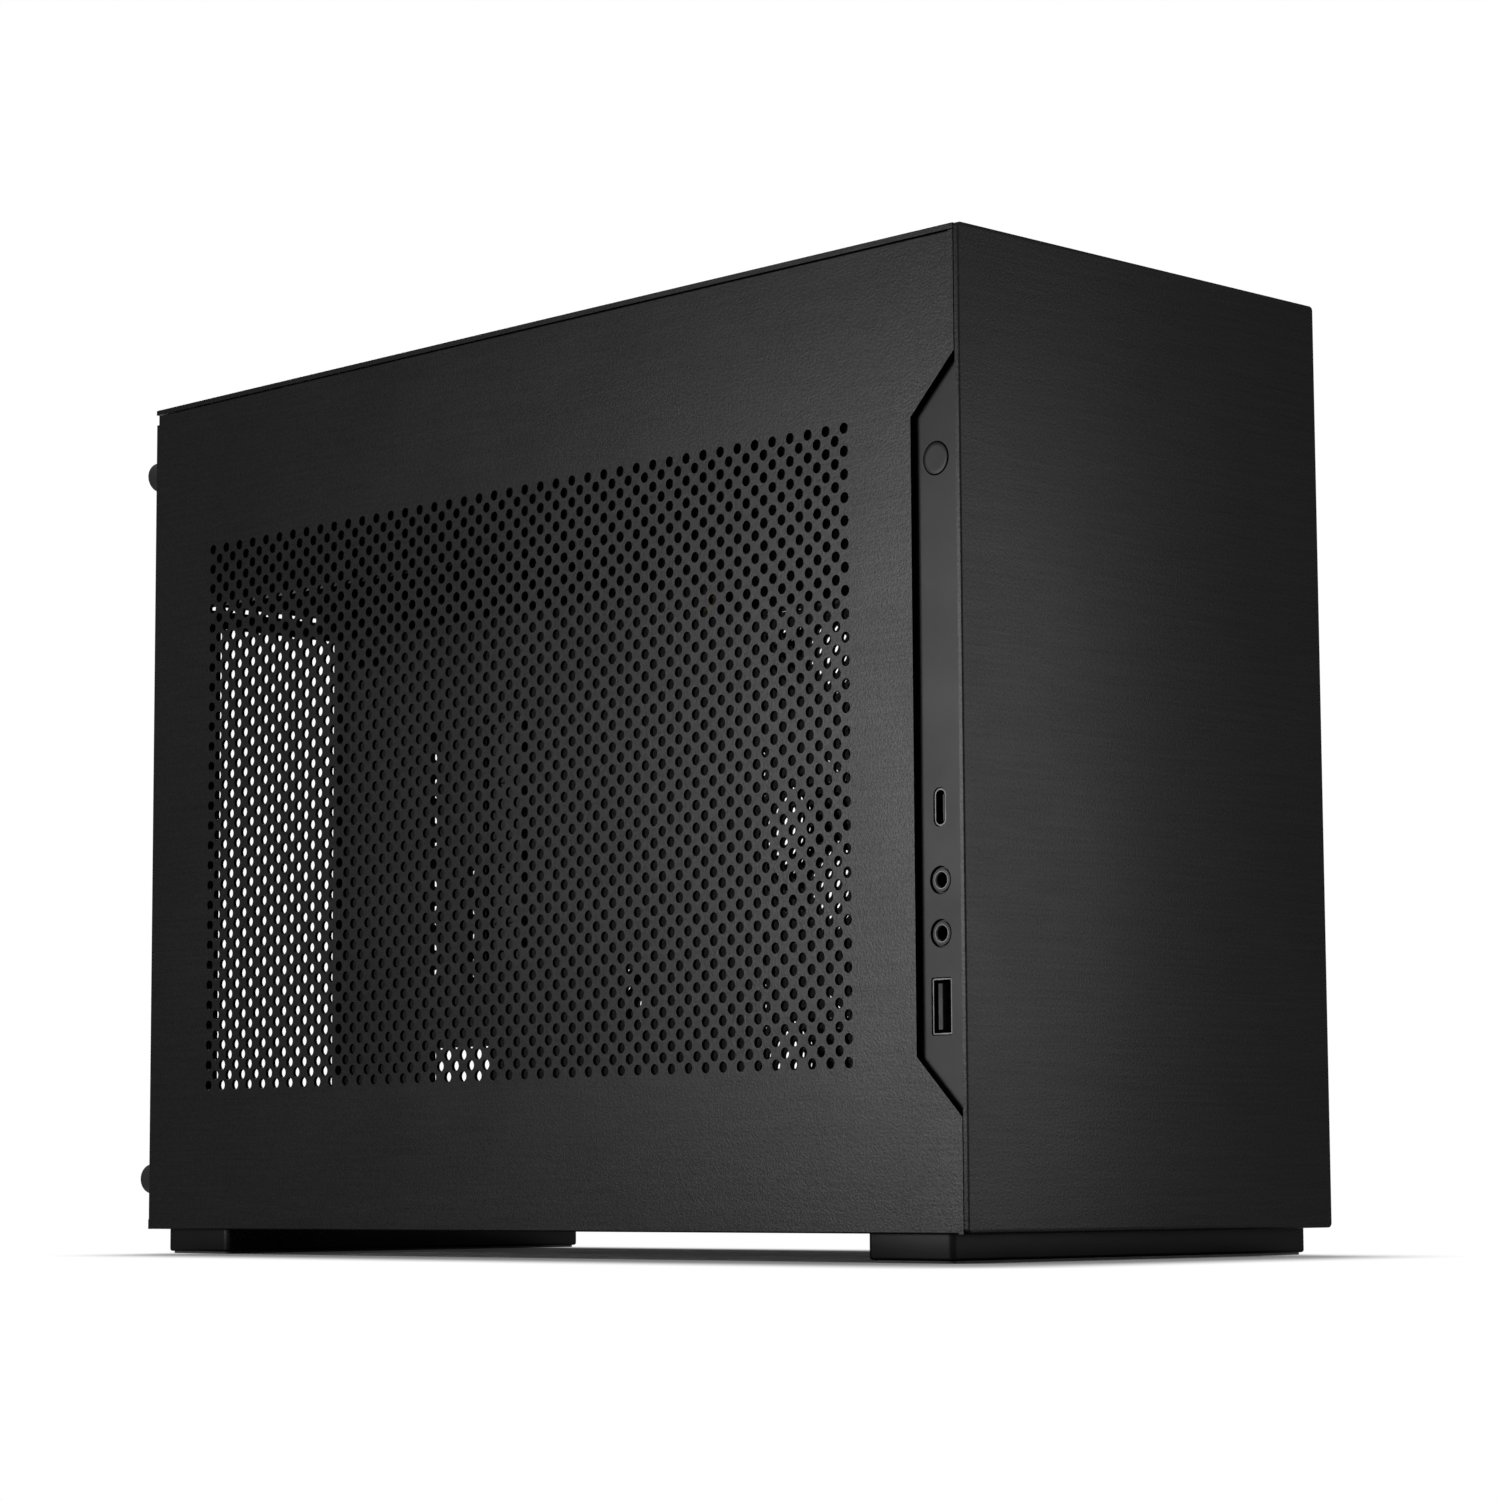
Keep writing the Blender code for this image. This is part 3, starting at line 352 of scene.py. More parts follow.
# Bends the sheet at a straight run of its outline and returns the faces of the flange beyond the bend
def bentEdge(bm, edges, outwards, inward, radius, depth, steps=5):
    middle = (edges[0].verts[0].co + edges[0].verts[1].co) / 2
    axis = Vector((0, 0, -inward)).cross(Vector(outwards))
    ends = list({vert for edge in edges for vert in edge.verts})
    centre = middle + Vector((0, 0, inward * radius))
    bent = bmesh.ops.spin(bm, geom=ends + edges, cent=centre, axis=axis, dvec=(0, 0, 0), angle=radians(90),
                          steps=steps, use_merge=False, use_duplicate=False)
    last = bent["geom_last"]
    for part in vertsIn(last) + edgesIn(last):
        for face in part.link_faces:
            face.smooth = True
    straight = bmesh.ops.extrude_edge_only(bm, edges=edgesIn(last))["geom"]
    moved(bm, straight, (0, 0, inward * (depth - radius)))
    return [part for part in straight if isinstance(part, bmesh.types.BMFace)]


# Fills a flange's face anew round screw holes at places
def drilled(bm, face, places, radius, segments):
    edges = list(face.edges)
    bmesh.ops.delete(bm, geom=[face], context="FACES_ONLY")
    for place in places:
        turned = Matrix.Translation(place) @ Matrix.Rotation(radians(90), 4, "Y")
        circle = bmesh.ops.create_circle(bm, segments=segments, radius=radius, matrix=turned)["verts"]
        edges += list({edge for vert in circle for edge in vert.link_edges})
    filled(bm, edges)


sidePanel = {
    "sheet": 0.0010,
    "bendRadius": 0.0004,
    "border": 0.0010,       # plain strip between the outline and the fill
    "relief": 0.0028,       # the rear flange stops short of the corners
    "lipRelief": 0.0015,    # and so do the lips
    "rearRelief": 0.0013,   # the upper rear corner stands this far ahead of the rear face
    "lip": 0.008,
    "rearFlange": 0.014,
    "screwHole": 0.0021,
    "holeSegments": 24,
    "tabs": (0.030, 0.188),         # right side only: no rear flange between these heights, beside the slots
    "notchTop": 0.2125,
    "notchLow": 0.0276,
    "notchDepth": 0.0146,
    "firstHole": (0.0390, 0.0414),  # from the front face and from the lower edge
    "columns": 83,
    "rows": 28,
}


def sideOutline(side, settings):
    low, high, front, back = panelLow, panelHigh, panelFront, rearFace
    relief, ends, radius = settings["relief"], settings["lipRelief"], settings["bendRadius"]
    points = [(front, low), (front + ends, low), (front + ends, low + radius),
              (back - ends, low + radius), (back - ends, low), (back, low),
              (back, low + relief), (back - radius, low + relief)]
    if side > 0:
        tabLow, tabHigh = low + settings["tabs"][0], low + settings["tabs"][1]
        points += [(back - radius, tabLow), (back, tabLow), (back, tabHigh), (back - radius, tabHigh)]
    points += [(back - radius, high - relief), (back - settings["rearRelief"], high - relief),
               (back - settings["rearRelief"], high), (back - ends, high), (back - ends, high - radius),
               (front + ends, high - radius), (front + ends, high), (front, high)]
    if side < 0:
        cut = settings["notchDepth"]
        top, bottom = low + settings["notchTop"], low + settings["notchLow"]
        points += [(front, top), (front + cut, top - cut), (front + cut, bottom + cut), (front, bottom)]
    return points


def sideSheet(name, side, settings):
    outer = sideLeft if side < 0 else sideRight
    hand = "left" if side < 0 else "right"
    radius = settings["bendRadius"]
    bm = bmesh.new()
    corner = (frontFace + settings["firstHole"][0], panelLow + settings["firstHole"][1])
    field = perforatedField(bm, perforation, corner, settings["columns"], settings["rows"])
    outline = filledOutline(bm, sideOutline(side, settings), settings["border"], field)
    bentEdge(bm, edgesAt(outline, 1, panelLow + radius), (0, -1, 0), -side, radius, settings["lip"])
    bentEdge(bm, edgesAt(outline, 1, panelHigh - radius), (0, 1, 0), -side, radius, settings["lip"])
    places = []     # of the screw holes, while the sheet still lies flat
    for end in ("bottom", "top"):
        screw = middleOf("thumbscrew_%s_%s" % (hand, end))
        places.append((rearFace, screw.z, screw.x - outer))
    for edge in edgesAt(outline, 0, rearFace - radius):
        flange = bentEdge(bm, [edge], (1, 0, 0), -side, radius, settings["rearFlange"])
        low, high = sorted(vert.co.y for vert in edge.verts)
        beside = [place for place in places if low < place[1] < high]
        drilled(bm, flange[0], beside, settings["screwHole"], settings["holeSegments"])
    bmesh.ops.remove_doubles(bm, verts=bm.verts[:], dist=slack["bends"])
    stoodUp(bm, outer)
    facedOutwards(bm, (side, 0, 0))
    piece = addPiece(name, bm, "anodisedAluminium", hand + "_panel", hand + "_panel")
    return givenThickness(piece, settings["sheet"])


sideSheet("leftPanelSheet", -1, sidePanel)
sideSheet("rightPanelSheet", 1, sidePanel)
print("side panels folded")


topPlate = {
    "sheet": 0.0015,
    "border": 0.0010,
    "edgeRound": 0.0003,
    "firstHole": 0.0390,    # from the front face
    "columns": 83,
    "rows": 19,
}


def topSheet(name, settings):
    low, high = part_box("top_panel")
    bm = bmesh.new()
    corner = (frontFace + settings["firstHole"], -(settings["rows"] - 1) / 2 * perforation["rowPitch"])
    field = perforatedField(bm, perforation, corner, settings["columns"], settings["rows"])
    points = [(low[1], low[0]), (high[1], low[0]), (high[1], high[0]), (low[1], high[0])]
    filledOutline(bm, points, settings["border"], field)
    lying = Matrix(((0, 1, 0, 0), (1, 0, 0, 0), (0, 0, 1, high[2]), (0, 0, 0, 1)))
    bmesh.ops.transform(bm, matrix=lying, verts=bm.verts[:])
    facedOutwards(bm, (0, 0, 1))
    bmesh.ops.solidify(bm, geom=bm.faces[:], thickness=settings["sheet"])
    bmesh.ops.recalc_face_normals(bm, faces=bm.faces[:])
    upper = edgesAt(bm.edges, 2, high[2])
    rim = []
    for axis in (0, 1):
        rim += edgesAt(upper, axis, low[axis]) + edgesAt(upper, axis, high[axis])
    roundedEdges(bm, rim, settings["edgeRound"], 2)
    return addPiece(name, bm, "anodisedAluminium", "case", "top_panel")


topSheet("topPanelSheet", topPlate)
print("top panel cut")


# Plates are drawn face up in X and Y, thickened downwards, and turned into place.
facing = {
    "front": Matrix(((1, 0, 0), (0, 0, -1), (0, 1, 0))).to_4x4(),
    "rear": Matrix(((-1, 0, 0), (0, 0, 1), (0, 1, 0))).to_4x4(),
    "left": Matrix(((0, 0, -1), (-1, 0, 0), (0, 1, 0))).to_4x4(),
    "up": Matrix.Identity(4),
    "down": Matrix.Rotation(pi, 4, "X"),
}


def placed(bm, way, centre):
    bmesh.ops.transform(bm, matrix=Matrix.Translation(centre) @ facing[way], verts=bm.verts[:])
    bmesh.ops.recalc_face_normals(bm, faces=bm.faces[:])


# Edges of a rectangle with round corners in X and Y
def roundedLoop(bm, width, height, corner, at=(0, 0), segments=6):
    places = []
    for quarter, (x, y) in enumerate(((1, 1), (-1, 1), (-1, -1), (1, -1))):
        steps = segments if corner else 0
        for step in range(steps + 1):
            angle = radians(90) * (quarter + (step / steps if steps else 0))
            places.append((at[0] + x * (width / 2 - corner) + corner * cos(angle),
                           at[1] + y * (height / 2 - corner) + corner * sin(angle), 0))
    verts = [bm.verts.new(place) for place in places]
    return [bm.edges.new(pair) for pair in zip(verts, verts[1:] + verts[:1])]


def circleLoop(bm, radius, segments, at=(0, 0)):
    turned = Matrix.Translation((at[0], at[1], 0))
    verts = bmesh.ops.create_circle(bm, segments=segments, radius=radius, matrix=turned)["verts"]
    return list({edge for vert in verts for edge in vert.link_edges})


# A plate with the first loop as its outline and the others as holes; its upper edges are rounded
def plate(bm, loops, thickness, rounding, segments=2):
    filled(bm, [edge for loop in loops for edge in loop])
    rim = [edge for edge in bm.edges if len(edge.link_faces) == 1]
    walls = bmesh.ops.extrude_face_region(bm, geom=bm.faces[:])["geom"]
    moved(bm, walls, (0, 0, -thickness))
    bmesh.ops.recalc_face_normals(bm, faces=bm.faces[:])
    if rounding:
        roundedEdges(bm, rim, rounding, segments)


# Spins points (radius, height) about Z; a profile that starts and ends on the axis gives a closed body
def turnedBody(bm, profile, steps):
    verts = [bm.verts.new((radius, 0, height)) for radius, height in profile]
    edges = [bm.edges.new(pair) for pair in zip(verts, verts[1:])]
    bmesh.ops.spin(bm, geom=verts + edges, cent=(0, 0, 0), axis=(0, 0, 1), dvec=(0, 0, 0), angle=2 * pi,
                   steps=steps, use_merge=True, use_duplicate=False)
    bmesh.ops.remove_doubles(bm, verts=bm.verts[:], dist=slack["turns"])
    bmesh.ops.recalc_face_normals(bm, faces=bm.faces[:])


frontPlate = {
    "cornerRound": 0.0012,
    "edgeRound": 0.00045,
}


def frontSheet(name, settings):
    size, centre = sizeOf("front_panel"), middleOf("front_panel")
    bm = bmesh.new()
    outline = roundedLoop(bm, size.x, size.z, settings["cornerRound"])
    plate(bm, [outline], size.y, settings["edgeRound"], 3)
    placed(bm, "front", (centre.x, frontFace, centre.z))
    return smoothed(addPiece(name, bm, "anodisedAluminium", "case", "front_panel"))


frontSheet("frontPanelPlate", frontPlate)


socketStrip = {
    "edgeRound": 0.0001,
    "play": 0.00016,        # between the strip and what lies in its holes
    "corner": {"usb_c_socket": 0.00175, "usb_a_socket": 0.0006},
    "holeSegments": 40,
}


def stripSheet(name, settings):
    size, centre, play = sizeOf("io_strip"), middleOf("io_strip"), settings["play"]
    bm = bmesh.new()
    loops = [roundedLoop(bm, size.y, size.z, 0)]
    for node in ("power_button", "headphone_jack", "microphone_jack"):
        place, radius = middleOf(node) - centre, sizeOf(node).z / 2
        loops.append(circleLoop(bm, radius + play, settings["holeSegments"], (-place.y, place.z)))
    for node, corner in settings["corner"].items():
        place, wide = middleOf(node) - centre, sizeOf(node)
        loops.append(roundedLoop(bm, wide.y + 2 * play, wide.z + 2 * play, corner, (-place.y, place.z)))
    plate(bm, loops, size.x, settings["edgeRound"], 1)
    placed(bm, "left", (centre.x - size.x / 2, centre.y, centre.z))
    return addPiece(name, bm, "satinBlack", "case", "io_strip")


stripSheet("socketStripPlate", socketStrip)


powerButton = {
    # radius and height of the cap's face, from its middle outwards, as shares of its radius and in metres
    "dish": ((0, -0.00003), (0.45, -0.00002), (0.74, 0)),
    "rim": 0.00022,
    "rimMiddle": 0.3,           # how far the rounded rim's middle point stands in, as a share of the rim
    "clearance": 0.0001,        # kept from the switch when the button is pressed
    "steps": 48,
}


def buttonCap(name, settings):
    low, size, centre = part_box("power_button")[0], sizeOf("power_button"), middleOf("power_button")
    radius, depth, rim = size.z / 2, size.x - settings["clearance"], settings["rim"]
    turn = settings["rimMiddle"] * rim
    profile = [(share * radius, level) for share, level in settings["dish"]]
    profile += [(radius - rim, 0), (radius - turn, -turn), (radius, -rim), (radius, -depth), (0, -depth)]
    bm = bmesh.new()
    turnedBody(bm, profile, settings["steps"])
    placed(bm, "left", (low[0], centre.y, centre.z))
    return smoothed(addPiece(name, bm, "satinBlack", "power_button", "power_button"))


buttonCap("powerButtonCap", powerButton)


plugSockets = {
    "wall": 0.00032,
    "leastCorner": 0.0001,
    "tongueCorner": 0.0001,
    "tongueRound": 0.00012,
    "contactThickness": 0.00012,    # half of it stands out of the tongue
    "contactLength": 0.006,
    "contactSetback": 0.001,        # behind the tongue's tip
    "usb_c_socket": {"corner": 0.00165, "tongue": (0.0007, 0.0066), "setback": 0.0012, "shift": 0,
                     "contacts": 12, "contactWidth": 0.00024},
    "usb_a_socket": {"corner": 0.0005, "tongue": (0.0015, 0.0112), "setback": 0.0006, "shift": 0.0012,
                     "contacts": 4, "contactWidth": 0.0011},
}


def plugSocket(name, node, settings):
    own, wall = settings[node], settings["wall"]
    low, size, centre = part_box(node)[0], sizeOf(node), middleOf(node)
    bm = bmesh.new()
    outer = roundedLoop(bm, size.y, size.z, own["corner"])
    innerCorner = max(own["corner"] - wall, settings["leastCorner"])
    inner = roundedLoop(bm, size.y - 2 * wall, size.z - 2 * wall, innerCorner)
    filled(bm, outer + inner)
    for loop, depth in ((outer, size.x), (inner, size.x - wall)):
        pulled = bmesh.ops.extrude_edge_only(bm, edges=loop)["geom"]
        moved(bm, pulled, (0, 0, -depth))
        bmesh.ops.contextual_create(bm, geom=edgesIn(pulled))
    placed(bm, "left", (low[0], centre.y, centre.z))
    smoothed(addPiece(name + "Shell", bm, "darkNickel", "case", node))

    thick, tall = own["tongue"]
    tip = low[0] + own["setback"]
    bm = bmesh.new()
    outline = roundedLoop(bm, thick, tall, settings["tongueCorner"], (-own["shift"], 0), 2)
    plate(bm, [outline], size.x - wall - own["setback"], settings["tongueRound"], 1)
    placed(bm, "left", (tip, centre.y, centre.z))
    addPiece(name + "Tongue", bm, "mouldedPlastic", "case")

    bm = bmesh.new()
    pitch, contact = tall / own["contacts"], settings["contactThickness"]
    for count in range(own["contacts"]):
        place = (-own["shift"] + thick / 2 + contact / 2, (count + 0.5) * pitch - tall / 2)
        strip = roundedLoop(bm, contact, own["contactWidth"], 0, place)
        bmesh.ops.contextual_create(bm, geom=strip)
    deep = bmesh.ops.extrude_face_region(bm, geom=bm.faces[:])["geom"]
    moved(bm, deep, (0, 0, -settings["contactLength"]))
    placed(bm, "left", (tip + settings["contactSetback"], centre.y, centre.z))
    addPiece(name + "Contacts", bm, "turnedBrass", "case")


plugSocket("usbC", "usb_c_socket", plugSockets)
plugSocket("usbA", "usb_a_socket", plugSockets)


audioJack = {
    "bore": 0.0019,
    "mouth": 0.0003,        # the cone at the mouth, as wide as it is deep
    "sleeve": 0.00022,
    "sleeveEnd": 0.0034,
    "seat": 0.00003,        # the plastic stands back from the sleeve's outer end by this much
    "gap": (0.0003, 0.0005),        # width and depth of the dark ring round the jack
    "faceRound": 0.0001,
    "depth": 0.0110,
    "steps": 40,
}


def jackBody(name, node, settings):
    low, centre, radius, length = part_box(node)[0], middleOf(node), sizeOf(node).z / 2, sizeOf(node).x
    bore, depth, mouth, sleeve = settings["bore"], settings["depth"], settings["mouth"], settings["sleeve"]
    (wide, deep), seat, rounding = settings["gap"], settings["seat"], settings["faceRound"]
    bm = bmesh.new()
    turnedBody(bm, [(0, -depth), (bore, -depth), (bore, -mouth), (bore + mouth, -seat),
                    (bore + mouth + seat, 0), (radius - wide - rounding, 0), (radius - wide, -rounding),
                    (radius - wide, -deep), (radius, -deep), (radius, -length), (0, -length)],
               settings["steps"])
    placed(bm, "left", (low[0], centre.y, centre.z))
    smoothed(addPiece(name, bm, "mouldedPlastic", "case", node))
    end = settings["sleeveEnd"]
    bm = bmesh.new()
    turnedBody(bm, [(bore, -mouth), (bore + mouth, 0), (bore + mouth - sleeve, 0), (bore - sleeve, -mouth),
                    (bore - sleeve, -end), (bore, -end), (bore, -mouth)], settings["steps"])
    placed(bm, "left", (low[0], centre.y, centre.z))
    smoothed(addPiece(name + "Sleeve", bm, "darkNickel", "case"))


jackBody("headphoneJack", "headphone_jack", audioJack)
jackBody("microphoneJack", "microphone_jack", audioJack)
print("front sockets made")


screws = {
    "thumb": {"headLength": 0.0080, "round": 0.0008, "collar": 0.0033, "ridges": 44, "ridgeDepth": 0.00013,
              "socket": 0.0018, "socketDepth": 0.0026, "shank": 0.0017},
    "pan": {"headLength": 0.0020, "round": 0.0007, "collar": 0.0020, "ridges": 16, "ridgeDepth": 0,
            "socket": 0.0012, "socketDepth": 0.0012, "shank": 0.0014},
    "mouth": 1.25,          # inner end of the turned face, as a share of the socket's radius
    "neck": 0.0002,         # length of the cone under the head, from the collar's radius to the shank's
    "point": (0.0004, 0.7),     # the tip's cone: its length, and its end as a share of the shank's radius
    "sharpFrom": 25,        # degrees
}


# A screw with its head towards way, a ridged rim and a six-sided socket
def turnedScrew(name, node, way, body, kind, settings):
    own = settings[kind]
    low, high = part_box(node)
    size, face = sizeOf(node), middleOf(node)
    along = {"rear": 1, "up": 2, "down": 2}[way]
    radius, length = size[0] / 2, size[along]
    face[along] = low[along] if way == "down" else high[along]
    head, bend, shank = own["headLength"], own["round"], own["shank"]
    point, pointShare = settings["point"]
    profile = [(settings["mouth"] * own["socket"], 0)]
    for turn in (0, pi / 6, pi / 3, pi / 2):
        profile.append((radius - bend + bend * sin(turn), -bend + bend * cos(turn)))
    profile += [(radius, -head + bend / 2), (radius - bend / 2, -head), (own["collar"], -head),
                (shank, -head - settings["neck"]), (shank, -length + point), (shank * pointShare, -length),
                (0, -length)]
    bm = bmesh.new()
    steps = 2 * own["ridges"]
    turnedBody(bm, profile, steps)
    for vert in bm.verts:
        angle = atan2(vert.co.y, vert.co.x) * steps / (2 * pi)
        if abs(vert.co.xy.length - radius) < slack["level"] and round(angle) % 2:
            vert.co.xy *= 1 - own["ridgeDepth"] / radius
    rim = [edge for edge in bm.edges if len(edge.link_faces) == 1]
    socket = circleLoop(bm, own["socket"], 6)
    filled(bm, rim + socket)
    walls = bmesh.ops.extrude_edge_only(bm, edges=socket)["geom"]
    moved(bm, walls, (0, 0, -own["socketDepth"]))
    bmesh.ops.contextual_create(bm, geom=edgesIn(walls))
    placed(bm, way, face)
    smoothed(addPiece(name, bm, "blackenedSteel", body, node), settings["sharpFrom"])


for hand in ("left", "right"):
    for end in ("top", "bottom"):
        node = "thumbscrew_%s_%s" % (hand, end)
        turnedScrew("thumbscrew" + hand.title() + end.title(), node, "rear", node, "thumb", screws)
for number in (1, 2, 3):
    turnedScrew("slotScrew%d" % number, "slot_screw_%d" % number, "up", "case", "pan", screws)
for number in (1, 2, 3, 4):
    turnedScrew("footScrew%d" % number, "foot_screw_%d" % number, "down", "case", "pan", screws)
print("screws turned")


feet = {
    "cornerRound": 0.0018,
    "edgeRound": 0.0007,
    "pad": 0.0075,          # the pad on the bar, between the panels, is narrower by this much on each side
    "barTop": 0.00695,
    "padSunk": 0.0003,      # how far the pad reaches down into the bar
    "soleMargin": 0.0009,
    "soleRound": 0.0002,
}


def footBar(name, node, settings):
    low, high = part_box(node)
    size, centre = sizeOf(node), middleOf(node)
    corner, rounding, top = settings["cornerRound"], settings["edgeRound"], settings["barTop"]
    bm = bmesh.new()
    plate(bm, [roundedLoop(bm, size.x, size.y, corner)], top - low[2], rounding, 3)
    placed(bm, "down", (centre.x, centre.y, low[2]))
    pad = bmesh.new()
    outline = roundedLoop(pad, size.x - 2 * settings["pad"], size.y - 2 * rounding, corner)
    plate(pad, [outline], high[2] - top + settings["padSunk"], 0)
    placed(pad, "up", (centre.x, centre.y, high[2]))
    smoothed(addPiece(name, bm, "satinBlack", "case", node))
    addPiece(name + "Pad", pad, "satinBlack", "case")


def footSole(name, node, foot, settings):
    low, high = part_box(node)
    size, centre = sizeOf(foot), middleOf(foot)
    margin = settings["soleMargin"]
    bm = bmesh.new()
    outline = roundedLoop(bm, size.x - 2 * margin, size.y - 2 * margin, settings["cornerRound"])
    plate(bm, [outline], high[2] - low[2], settings["soleRound"])
    placed(bm, "down", (centre.x, centre.y, low[2]))
    smoothed(addPiece(name, bm, "soleRubber", "case", node))


for end in ("front", "rear"):
    footBar(end + "FootBar", "foot_" + end, feet)
    footSole(end + "FootSole", "foot_sole_" + end, "foot_" + end, feet)
print("feet made")


bayScreen = {
    "sheet": 0.0008,
    "border": 0.0010,
    "bendRadius": 0.0010,
    "columns": 30,
    "rows": 27,
    "firstHole": (0.0042, 0.0085),      # from the screen's own front and lower edges
}


def bayDivider(name, settings):
    low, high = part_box("bay_divider")
    radius = settings["bendRadius"]
    bm = bmesh.new()
    corner = (low[1] + settings["firstHole"][0], low[2] + settings["firstHole"][1])
    field = perforatedField(bm, perforation, corner, settings["columns"], settings["rows"])
    points = [(low[1], low[2] + radius), (high[1], low[2] + radius), (high[1], high[2]), (low[1], high[2])]
    outline = filledOutline(bm, points, settings["border"], field)
    bentEdge(bm, edgesAt(outline, 1, low[2] + radius), (0, -1, 0), 1, radius, high[0] - low[0])
    bmesh.ops.remove_doubles(bm, verts=bm.verts[:], dist=slack["bends"])
    stoodUp(bm, low[0])
    facedOutwards(bm, (-1, 0, 0))
    givenThickness(addPiece(name, bm, "coatedSteel", "case", "bay_divider"), settings["sheet"])


bayDivider("bayDividerScreen", bayScreen)


slotGrille = {
    "pattern": {"columnPitch": 0.0022, "rowPitch": 0.0040, "radius": 0.0011, "sides": 8},
    "sheet": 0.0006,
    "border": 0.0004,
    "inset": 0.0004,        # to the rear of the cover's front face
    "columns": 5,
    "rows": 19,
    "window": (0.0132, 0.0818),
    "middle": 0.1145,       # above the panels' lower edges
}


def grille(name, node, settings):
    low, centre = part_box(node)[0], middleOf(node)
    pattern, columns, rows = settings["pattern"], settings["columns"], settings["rows"]
    corner = (-(columns - 1) * pattern["columnPitch"] / 2, -(rows - 1) * pattern["rowPitch"] / 2)
    bm = bmesh.new()
    field = perforatedField(bm, pattern, corner, columns, rows)
    width, height = settings["window"]
    points = [(x * width / 2, y * height / 2) for x, y in ((-1, -1), (1, -1), (1, 1), (-1, 1))]
    filledOutline(bm, points, settings["border"], field)
    bmesh.ops.solidify(bm, geom=bm.faces[:], thickness=settings["sheet"])
    placed(bm, "rear", (centre.x, low[1] + settings["inset"], panelLow + settings["middle"]))
    addPiece(name, bm, "coatedSteel", "case")


for number in (1, 2, 3):
    grille("slotGrille%d" % number, "slot_cover_%d" % number, slotGrille)


cableFlap = {
    "face": 0.0016,         # its left side, just right of the tray's sheet
    "thickness": 0.0010,
    "depths": (0.2415, 0.2573),     # from the front face
    "levels": (0.0765, 0.1515),     # above the panels' lower edges
    "cornerRound": 0.0010,
    "edgeRound": 0.0001,
    "slits": 9,
    "slit": (0.0090, 0.0003),
}


def rubberFlap(name, settings):
    near, far = [frontFace + depth for depth in settings["depths"]]
    low, high = [panelLow + level for level in settings["levels"]]
    bm = bmesh.new()
    loops = [roundedLoop(bm, far - near, high - low, settings["cornerRound"])]
    pitch = (high - low) / settings["slits"]
    for count in range(settings["slits"]):
        loops.append(roundedLoop(bm, *settings["slit"], 0, (0, (count + 0.5) * pitch - (high - low) / 2)))
    plate(bm, loops, settings["thickness"], settings["edgeRound"], 1)
    placed(bm, "left", (settings["face"], (near + far) / 2, (low + high) / 2))
    addPiece(name, bm, "soleRubber", "case")


rubberFlap("cableFlap", cableFlap)
print("screens and grilles cut")


# The floor, the backdrop and the light
studio = {
    "floorSize": 6.0,
    # The paper's grey round the case is painted shade; everywhere else the white backdrop is seen
    "paper": (0.60, 0.60, 0.60),
    "paperRoughness": 0.9,
    "paperGlow": 0.02,
    "paintedShadeMiddle": (-0.020, -0.030, 0),       # of the field under the case in which the grey paper is seen: painted shade, set forward and left like a shadow
    "paintedShadeHalf": (0.062, 0.150, 0),           # half its width and half its depth
    "fade": (0.0, 0.045),       # between these distances from the field the painted shade fades into the white backdrop
    "worldLevel": 0.32,         # of the light; the backdrop that is seen has 1
    "lamps": {
        "sideSoftbox": {"place": (-0.58, 0.17, 0.17), "target": (-0.07, -0.12, 0.12), "size": (0.25, 0.30),
                        "power": 4.5, "sparesFloor": True},
        "frontSoftbox": {"place": (0.30, -0.80, 0.16), "target": (-0.04, -0.17, 0.12), "size": (0.40, 0.35),
                         "power": 2.4, "sparesFloor": True},
        "topSoftbox": {"place": (0.2, 0.1, 1.5), "target": (0, 0, 0.1), "size": (1.4, 1.4), "power": 14.0},
        "farSoftbox": {"place": (0.90, 1.00, 0.70), "target": (0, 0, 0.12), "size": (0.90, 0.90),
                       "power": 16.0},
    },
}


# A factor that is 1 for camera, glossy and transmission rays
def seenRays(tree):
    path = tree.nodes.new("ShaderNodeLightPath")
    factor = path.outputs["Is Camera Ray"]
    for kind in ("Is Glossy Ray", "Is Transmission Ray"):
        either = tree.nodes.new("ShaderNodeMath")
        either.operation = "MAXIMUM"
        tree.links.new(factor, either.inputs[0])
        tree.links.new(path.outputs[kind], either.inputs[1])
        factor = either.outputs["Value"]
    return factor


# Each point's distance from the field of painted shade, by the floor's own coordinates
def fieldDistance(tree, settings):
    source, output = tree.nodes.new("ShaderNodeTexCoord"), "Object"
    steps = (("SUBTRACT", settings["paintedShadeMiddle"]), ("ABSOLUTE", None),
             ("SUBTRACT", settings["paintedShadeHalf"]), ("MAXIMUM", (0, 0, 0)), ("LENGTH", None))
    for operation, other in steps:
        step = tree.nodes.new("ShaderNodeVectorMath")
        step.operation = operation
        if other:
            step.inputs[1].default_value = other
        wire(tree, source, output, step, 0)
        source, output = step, "Vector"
    return step
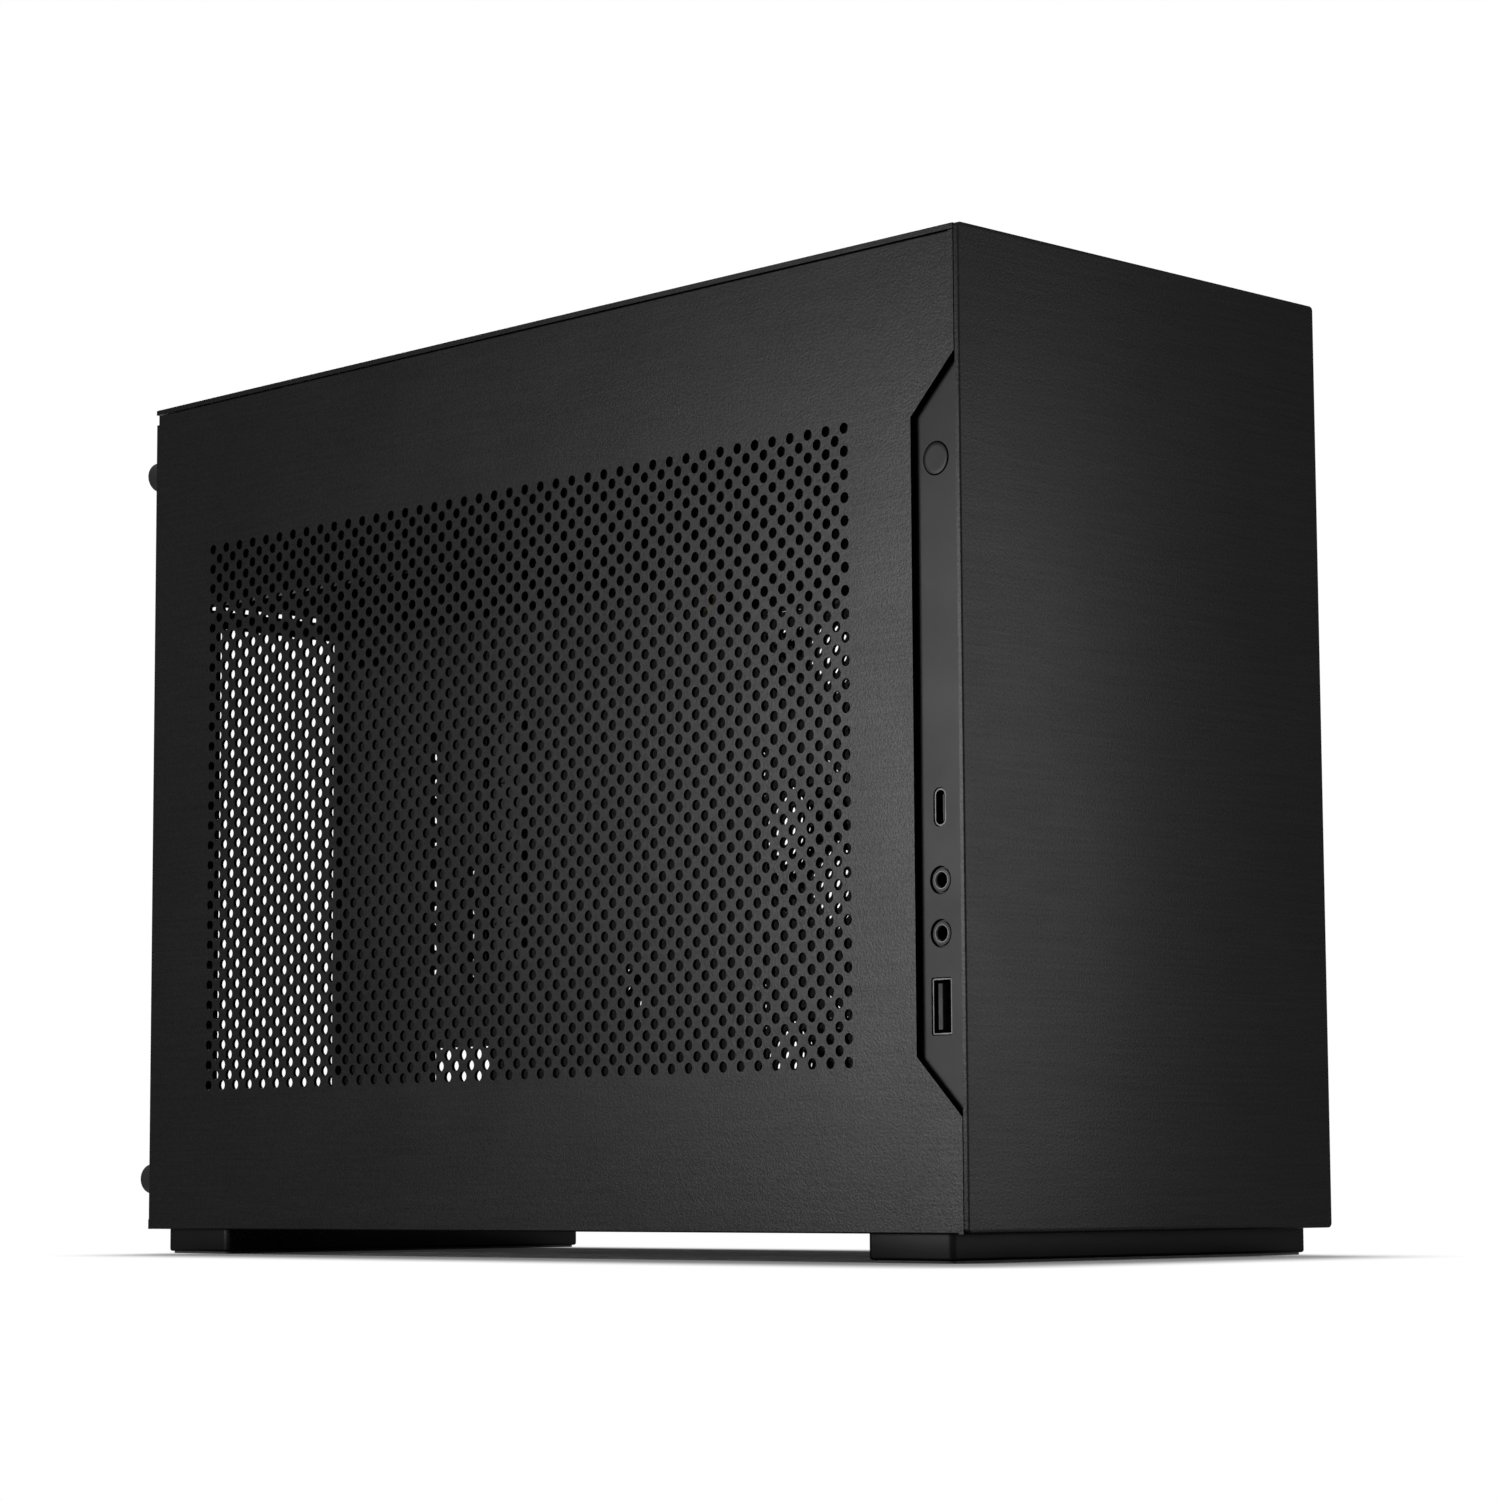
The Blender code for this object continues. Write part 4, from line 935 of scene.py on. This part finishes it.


# The paper is greyer than the backdrop and shows only in a field round the case: painted shade for the contact
# shadow, on top of the real shadow the lamps cast on it
def floorPaper(settings):
    finish = bpy.data.materials.new("floorPaper")
    finish.use_nodes = True
    tree = finish.node_tree
    seen = seenRays(tree)
    paper = tree.nodes["Principled BSDF"]
    paper.inputs["Base Color"].default_value = (*settings["paper"], 1)
    paper.inputs["Roughness"].default_value = settings["paperRoughness"]
    paper.inputs["Specular IOR Level"].default_value = 0.0
    paper.inputs["Emission Color"].default_value = (1, 1, 1, 1)
    glow = tree.nodes.new("ShaderNodeMath")
    glow.operation = "MULTIPLY"
    glow.inputs[1].default_value = settings["paperGlow"]
    tree.links.new(seen, glow.inputs[0])
    wire(tree, glow, "Value", paper, "Emission Strength")
    fade = tree.nodes.new("ShaderNodeMapRange")
    fade.interpolation_type = "SMOOTHSTEP"
    fade.inputs["From Min"].default_value, fade.inputs["From Max"].default_value = settings["fade"]
    wire(tree, fieldDistance(tree, settings), "Value", fade, "Value")
    far = tree.nodes.new("ShaderNodeMath")
    far.operation = "MULTIPLY"
    wire(tree, fade, "Result", far, 0)
    tree.links.new(seen, far.inputs[1])
    picked = tree.nodes.new("ShaderNodeMixShader")
    wire(tree, far, "Value", picked, 0)
    wire(tree, paper, "BSDF", picked, 1)
    wire(tree, tree.nodes.new("ShaderNodeEmission"), "Emission", picked, 2)
    wire(tree, picked, "Shader", tree.nodes["Material Output"], "Surface")
    return finish


def addFloor(settings):
    bm = bmesh.new()
    bmesh.ops.create_grid(bm, x_segments=1, y_segments=1, size=settings["floorSize"] / 2)
    mesh = bpy.data.meshes.new("floor")
    bm.to_mesh(mesh)
    bm.free()
    mesh.materials.append(floorPaper(settings))
    floor = bpy.data.objects.new("floor", mesh)
    scene.collection.objects.link(floor)
    return floor


def addWorld(settings):
    world = bpy.data.worlds.new("studio")
    scene.world = world
    world.use_nodes = True
    tree = world.node_tree
    plain = tree.nodes["Background"]
    plain.inputs["Color"].default_value = (1, 1, 1, 1)
    plain.inputs["Strength"].default_value = settings["worldLevel"]
    white = tree.nodes.new("ShaderNodeBackground")
    white.inputs["Color"].default_value = (1, 1, 1, 1)
    white.inputs["Strength"].default_value = 1.0
    picked = tree.nodes.new("ShaderNodeMixShader")
    tree.links.new(seenRays(tree), picked.inputs[0])
    wire(tree, plain, "Background", picked, 1)
    wire(tree, white, "Background", picked, 2)
    wire(tree, picked, "Shader", tree.nodes["World Output"], "Surface")


def addLamp(name, settings, spared):
    data = bpy.data.lights.new(name, "AREA")
    data.shape = "RECTANGLE"
    data.size, data.size_y = settings["size"]
    data.energy = settings["power"]
    lamp = bpy.data.objects.new(name, data)
    aim = Vector(settings["target"]) - Vector(settings["place"])
    lamp.location = settings["place"]
    lamp.rotation_euler = aim.to_track_quat("-Z", "Y").to_euler()
    lamp.visible_camera = False
    scene.collection.objects.link(lamp)
    if settings.get("sparesFloor"):
        lamp.light_linking.receiver_collection = spared


floor = addFloor(studio)
addWorld(studio)
# The two near softboxes light the case alone, so that its contact shadow stays on the floor in front of it
spared = bpy.data.collections.new("sparedFloor")
spared.objects.link(floor)
spared.collection_objects[0].light_linking.link_state = "EXCLUDE"
for name, settings in studio["lamps"].items():
    addLamp(name, settings, spared)
print("studio set")
